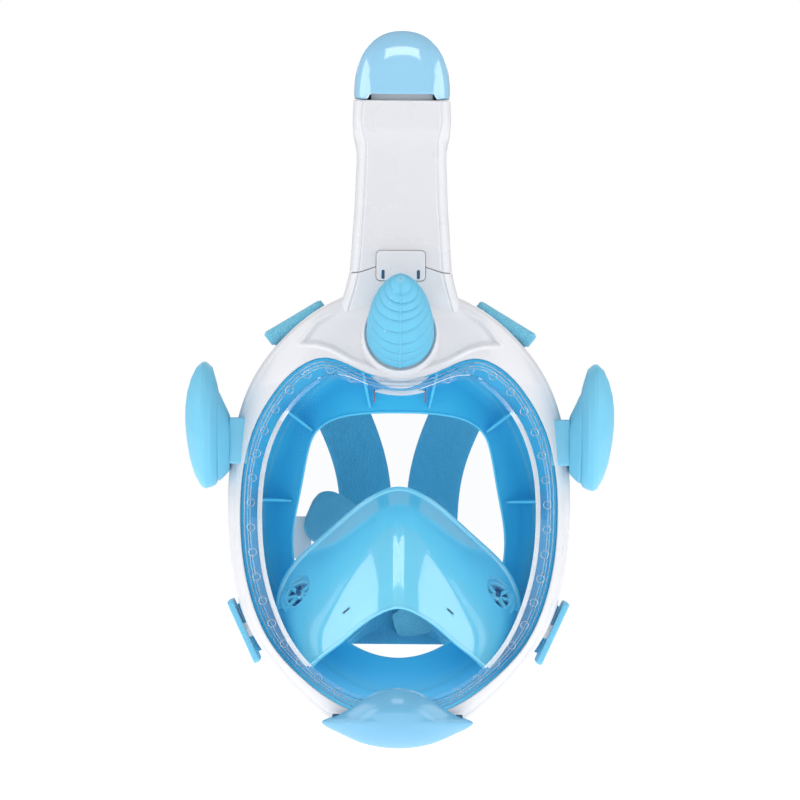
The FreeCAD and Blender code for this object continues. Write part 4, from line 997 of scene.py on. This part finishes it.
def latch_coil():
    """The latch's spring, a five-turn steel coil."""
    low, high = (np.array(corner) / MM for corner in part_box("latch_spring"))
    middle, reach = (low + high) / 2, (high[0] - low[0]) / 2 - 0.32
    length, turns, around = high[1] - low[1], 5, circle(8)
    rings = []
    for share in np.linspace(0, 1, 180):
        angle = 2 * math.pi * turns * share
        spoke = np.array((math.cos(angle), 0, math.sin(angle)))
        centre = middle + reach * spoke
        centre[1] = low[1] + 0.32 + (length - 0.64) * share
        offset = np.outer(np.cos(around), spoke) + np.outer(np.sin(around), (0, 1, 0))
        rings.append(centre + 0.3 * offset)
    coil = loft("latch_coil", rings, STEEL)
    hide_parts("latch_spring")
    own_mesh(coil)


# ------------------------------------------------------------------ horn and ears

def horn():
    """The ringed horn: eight shingled rings with a slight spiral and a moulding line."""
    rings, start, length, base, tip = 8, 5.6, 55.0, 16.7, 5.0
    step = (length - tip - start) / rings
    angle = circle(320)
    line = np.exp(-(np.cos(angle) * 16.7 / 0.5)**2)
    made = [np.column_stack([5.1 * np.cos(angle), 5.1 * np.sin(angle), np.full(320, start)])]
    for k, height in enumerate(np.linspace(start, length, 150)):
        share = np.clip((height - start) / (length - tip - start), 0, 1)
        radius = tip + (base - tip) * math.cos(share * math.pi / 2)**0.75
        twisted = height - start + 0.9 * np.sin(angle + share * 9)
        place = (twisted / step) % 1.0
        ringed = smoothstep((height - start) / 2.0) * (1 - smoothstep((height - 47.5) / 3))
        groove = np.exp(-(np.minimum(place, 1 - place) / 0.12)**2)
        bulge = ringed * (0.30 * (1 - place) - 1.25 * groove)
        if height > length - tip:
            radius = math.sqrt(max(0.0, tip**2 - (height - length + tip)**2))
        edge = 1 - 0.05 * (1 - min(1.0, k / 2))
        r = np.maximum(0.02, radius * edge + bulge + 0.65 * line * min(1.0, radius / 3))
        r = np.minimum(r, base + 0.7)
        made.append(np.column_stack([r * np.cos(angle), r * np.sin(angle), np.full(320, height)]))
    shape = loft("horn_body", [horn_ring(r) for r in made], HORN, sharp=60)
    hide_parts("horn")


def ear(name, side):
    """A fat leaf seen edge on, with shallow flutes, a groove round its inner cup, and its stub."""
    stations = [row[0] for row in EAR_SECTIONS]
    rings = []
    angle = circle(144)
    for x in np.concatenate([np.linspace(stations[0], 106.6, 70), np.linspace(106.8, stations[-1], 8)]):
        half_depth, half_height, middle = (np.interp(x, stations, [row[k] for row in EAR_SECTIONS])
                                           for k in (1, 2, 3))
        fluted = smoothstep((x - 96) / 6) * smoothstep((108 - x) / 2)
        flute = 0.5 * np.abs(np.sin(angle * 4.5 + 0.4)) * fluted
        leaf = 1 + 0.05 * np.sin(angle) * smoothstep((x - 90) / 8)
        flute = flute + 0.9 * math.exp(-((x - 91.2) / 0.42)**2)
        rings.append(np.column_stack([np.full(144, side * x),
                                      EAR_Y + (half_depth - flute) * np.cos(angle) * leaf,
                                      middle + (half_height - flute) * np.sin(angle)]))
    made = loft(f"ear_{name}_leaf", rings, EAR, sharp=60)
    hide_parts(f"ear_{name}")
    block = rounded_box(8.0, 11.6, 1.2, 5) + (EAR_Y, 45.6)
    reach = sorted((side * 76.0, side * 85.6))
    rings = [np.roll(r, 1, axis=1) for r in slab_rings(block, *reach, 0.8)]
    stub = loft(f"ear_{name}_stub", rings, EAR)
    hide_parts(f"ear_bracket_{name}")


# ------------------------------------------------------------------ straps

def ribbon(name, path, outs, material, body="root", count=150, widths=None):
    """A flat woven band along a path; outs are the directions its flat side faces."""
    line = open_curve(path, count)
    run = distance_along(path)
    share = np.linspace(0, run[-1], count)
    face = np.stack([np.interp(share, run, np.array(outs, float)[:, k]) for k in range(3)], 1)
    along = unit(np.gradient(line, axis=0))
    across = unit(np.cross(along, face))
    normal = np.cross(across, along)
    run = distance_along(line)
    scale = np.ones(count) if widths is None else np.interp(np.linspace(0, 1, count), *widths)
    u = np.concatenate([np.linspace(-1, 1, 15), np.linspace(1, -1, 15)])
    v = np.concatenate([np.full(15, 1.0), np.full(15, -1.0)]) * (1 - 0.75 * (np.abs(u) > 0.99))
    rings, uv = [], []
    for p, a, n, r, s in zip(line, across, normal, run, scale):
        rings.append(p + np.outer(u * STRAP_WIDTH / 2 * s, a) + np.outer(v * STRAP_THICK / 2, n))
        uv += [(w * STRAP_WIDTH / 2, r) for w in u]
    return loft(name, rings, material, body=body, uv=uv)


def straps():
    """Two woven bands over the back of the head, sewn together where they meet."""
    for name, side in SIDES:
        anchor, slot = (52.4, -35.5, 106.6), [(75.6, -6.5, -49.8), (77.9, -14.4, -50.7)]
        path = np.array([anchor] + STRAP_PATH + slot, float) * (side, 1, 1)
        outs = unit(path - HEAD_MIDDLE)
        outs[0] = (side * 0.62, 0, 0.785)
        outs[-2:] = (side * 0.908, 0, -0.418)
        # painted shade: the bands are in the webbing's shaded copy
        band = ribbon(f"strap_{name}_band", path, outs, STRAP_SHADED, body=None, count=190,
                      widths=((0, 0.94, 1), (1, 1, 0.9)))
        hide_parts(f"strap_{name}")
        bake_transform(band)
        wrap_loop(name, side)


def wrap_loop(name, side):
    """The strap's turn over the upper anchor, which shows past the frame's edge."""
    length = math.hypot(*ANCHOR_EDGE)
    along = np.array((side * ANCHOR_EDGE[0], 0, ANCHOR_EDGE[1])) / length
    out = np.array((side * -ANCHOR_EDGE[1], 0, ANCHOR_EDGE[0])) / length
    middle = np.array(ANCHOR_AT, float) * (side, 1, 1)
    rings, uv = [], []
    steps = np.linspace(-1, 1, 40)
    turn = circle(36)
    for s in steps:
        reach = 2.5 + 1.8 * (s + 1) / 2
        ends = 1 - 0.25 * max(0.0, abs(s) - 0.9) / 0.1
        y = np.sign(np.sin(turn)) * np.abs(np.sin(turn))**0.7 * 5.6 * ends
        o = np.sign(np.cos(turn)) * np.abs(np.cos(turn))**0.8 * reach * ends
        centre = middle + along * (s * 16.6 + 1.2) + out * (-3.8 + 2.4 * (s + 1) / 2)
        rings.append(centre + np.outer(o, out) + np.outer(y, (0, 1, 0)))
        uv += [(s * 16.6, t * 4.5) for t in turn]
    # painted light: the wrap is in the webbing's lit copy
    made = loft(f"strap_wrap_{name}", rings, STRAP_LIT, uv=uv, sharp=50)
    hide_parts(f"strap_anchor_{name}")


def clips():
    """The lower clips: ribbed plates on their pins, with a slot for the strap."""
    for name, side in SIDES:
        edge = np.array((CLIP_EDGE[0], 0, CLIP_EDGE[1])) / math.hypot(*CLIP_EDGE)
        out = (side * edge[2], 0, -edge[0])
        x, y, z = CLIP_MIDDLE
        at = frame_of((side * x, y, z), out, np.cross((0, 1, 0), out))
        plate = loft(f"clip_{name}_plate", at(slab_rings(rounded_box(17, 17, 2.6), 0, 3.2, 0.7)),
                     CLIP, body=f"clip_{name}")
        slot = rounded_box(14.5, 1.7, 1.2, 4)
        cut(plate, at(slab_rings(slot + (0, 12.4), -5, 9, 0.05)))
        cut(plate, at(slab_rings(rounded_box(4.5, 3.1, 0.6, 4) + (0, -CLIP_PIN_BACK), -5, 9, 0.05)))
        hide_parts(f"strap_clip_{name}")
        for i in range(5):
            grip = rounded_box(11.0, 0.6, 0.5, 4) + (0, -4.0 + 2.6 * i)
            loft(f"clip_{name}_grip_{i + 1}", at(slab_rings(grip, 2.9, 3.5, 0.25)), CLIP,
                 body=f"clip_{name}")
        lug = slab_rings(rounded_box(3.8, 2.0, 0.6, 4) + (0, -CLIP_PIN_BACK), -4.4, 3.0, 0.3)
        loft(f"clip_lug_{name}", at(lug), WHITE)


def patch(name, shape, depth, bow, thick, material, turn=0.0):
    """A flat piece of webbing seen face on, bowed backwards from its middle."""
    shape = np.array(shape, float)
    middle = shape.mean(0)
    rings, uv = [], []
    for share, back in ((0.02, 0), (0.35, 0), (0.7, 0), (0.96, 0), (1, 0.3), (1, 0.7), (0.96, 1),
                        (0.7, 1), (0.35, 1), (0.02, 1)):
        p = middle + (shape - middle) * share
        y = depth + bow * ((p - middle)**2).sum(1) / 1000 + thick * back
        rings.append(np.stack([p[:, 0], y, p[:, 1]], 1))
        c, d = math.cos(turn), math.sin(turn)
        uv += [(x * c + z * d, z * c - x * d) for x, z in p]
    return loft(name, rings, material, uv=uv)


def strap_ends():
    """The cross piece sewn over the join, its loose corner, and the left strap's free end, which
    curls forward with its slider."""
    join = rounded_box(27, 14, 3) + (0, -48)
    # painted shade: the join is in the webbing's shaded copy
    patch("strap_join", join, 86.0, -14.0, 2.0, STRAP_SHADED)
    # The corner and the free end below are in the webbing's third copy, painted a middle tone between
    # shade and light.
    corner = open_curve([(-3.5, -47), (3, -59.5), (9, -58), (21, -53.5), (15, -42), (8, -38),
                         (2, -42.5), (-3.5, -47)], 40)[:-1]
    patch("strap_corner", corner, 80.5, 3.0, 1.6, STRAP_END, 0.5)
    curl = [(-17, 84, -34), (-17, 70, -26), (-20, 52, -15), (-27, 36, -3), (-36, 28, 4.5),
            (-46.5, 25, 9.5)]
    outs = [(0, -0.3, -1), (0, -0.5, -0.9), (0, -0.8, -0.6), (0, -1, -0.2), (0, -1, 0), (0, -1, 0)]
    tail = np.linspace(0, 1, 12)
    ribbon("strap_left_end", curl, outs, STRAP_END,
           widths=(0.88 + 0.12 * tail, 0.4 + 0.6 * np.sqrt(1 - tail**2)))
    slider = rounded_box(4.8, 11.0, 2.0) + (-50.0, -5.0)
    rings = front_slab(slider, 27.6, 30.0, 0.6)
    loft("strap_left_slider", rings, GREY, slot="strap_webbing")


# ------------------------------------------------------------------ carried-over hardware

def paint_nodes():
    """Materials for the CAD pieces that show as they are."""
    finishes = {"inhale_valve_seat_left": POCKET, "inhale_valve_seat_right": POCKET,
                "inhale_flap_left": FLAP, "inhale_flap_right": FLAP, "chin_valve_seat": INNER,
                "chin_valve_flap": FLAP, "snorkel_pivot": STEEL, "socket_gasket": RUBBER,
                "airway_divider": INNER, "float_cage": INNER, "float": FOAM,
                "dry_top_seal": RUBBER, "clip_pin_left": STEEL, "clip_pin_right": STEEL,
                "frame_screws": STEEL}
    for node, material in finishes.items():
        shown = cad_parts[node]
        shown.data.materials.clear()
        shown.data.materials.append(material)


# ------------------------------------------------------------------ studio

def area_light(name, at, target, width, height, power):
    """A soft box that faces a target; sizes in metres, power in watts."""
    light = bpy.data.lights.new(name, "AREA")
    light.shape, light.size, light.size_y, light.energy = "RECTANGLE", width, height, power
    made = bpy.data.objects.new(name, light)
    made.location = at
    made.rotation_mode = "QUATERNION"
    made.rotation_quaternion = (Vector(target) - Vector(at)).to_track_quat("-Z", "Y")
    bpy.context.scene.collection.objects.link(made)


def studio():
    """A pale floor, a bright even surround and soft boxes at both sides and above."""
    scene = bpy.context.scene
    world = bpy.data.worlds.new("surround")
    scene.world = world
    world.use_nodes = True
    nodes, link = world.node_tree.nodes, world.node_tree.links
    seen, lit = nodes["Background"], nodes.new("ShaderNodeBackground")
    seen.inputs["Color"].default_value = (1, 1, 1, 1)
    lit.inputs["Color"].default_value = (0.96, 0.98, 1, 1)
    lit.inputs["Strength"].default_value = 0.42
    path, mix = nodes.new("ShaderNodeLightPath"), nodes.new("ShaderNodeMixShader")
    link.new(path.outputs["Is Camera Ray"], mix.inputs[0])
    link.new(lit.outputs[0], mix.inputs[1])
    link.new(seen.outputs[0], mix.inputs[2])
    link.new(mix.outputs[0], nodes["World Output"].inputs["Surface"])
    for name, side in SIDES:
        area_light(f"softbox_{name}", (side * 1.0, -0.95, 0.2), (0, -0.05, 0.0), 0.35, 0.9, 2.2)
    for name, side in SIDES:
        area_light(f"side_{name}", (side * 1.15, -0.3, 0.65), (0, -0.05, 0.0), 0.85, 0.75, 3.5)
    area_light("softbox_top", (0, -0.7, 1.2), (0, -0.05, 0.05), 0.7, 0.5, 2.7)
    area_light("softbox_back", (0, 1.2, 0.7), (0, 0.0, 0.1), 1.2, 0.6, 3.0)
    floor_mesh = bpy.data.meshes.new("floor")
    work = bmesh.new()
    bmesh.ops.create_circle(work, cap_ends=True, segments=96, radius=6.0)
    work.to_mesh(floor_mesh)
    work.free()
    floor = bpy.data.objects.new("floor", floor_mesh)
    floor.location.z = cad_low.z - 0.06
    scene.collection.objects.link(floor)
    paint = moulded("floor_paint", (0.93, 0.93, 0.93), 0.9, grain=0.1, mottle=0.01, edge=0.0)
    shader = paint.node_tree.nodes["Principled BSDF"]
    shader.inputs["Emission Color"].default_value = (1, 1, 1, 1)
    shader.inputs["Emission Strength"].default_value = 0.72
    floor_mesh.materials.append(paint)
    scene.view_settings.view_transform = "Standard"


def camera():
    """Level, straight on, turned by under half a degree as the object leans."""
    distance, view_width, height, reference = 2.6, 0.400, 0.0665, -0.060
    data = bpy.data.cameras.new("camera")
    data.sensor_width = 36.0
    data.lens = data.sensor_width * distance / view_width
    made = bpy.data.objects.new("camera", data)
    made.location = (0.0001, reference - distance, height)
    turn = Matrix.Rotation(math.radians(90), 4, "X") @ Matrix.Rotation(math.radians(0.42), 4, "Z")
    made.rotation_euler = turn.to_euler()
    bpy.context.scene.collection.objects.link(made)
    bpy.context.scene.camera = made


for step in (camera, studio, front_frame, rear_frame, neck, collar, hinge_lugs, lens, skirt, pocket,
             chin_cover, tube, cap, latch, latch_coil, horn):
    step()
for ear_name, ear_side in SIDES:
    ear(ear_name, ear_side)
for step in (straps, strap_ends, clips, paint_nodes):
    step()
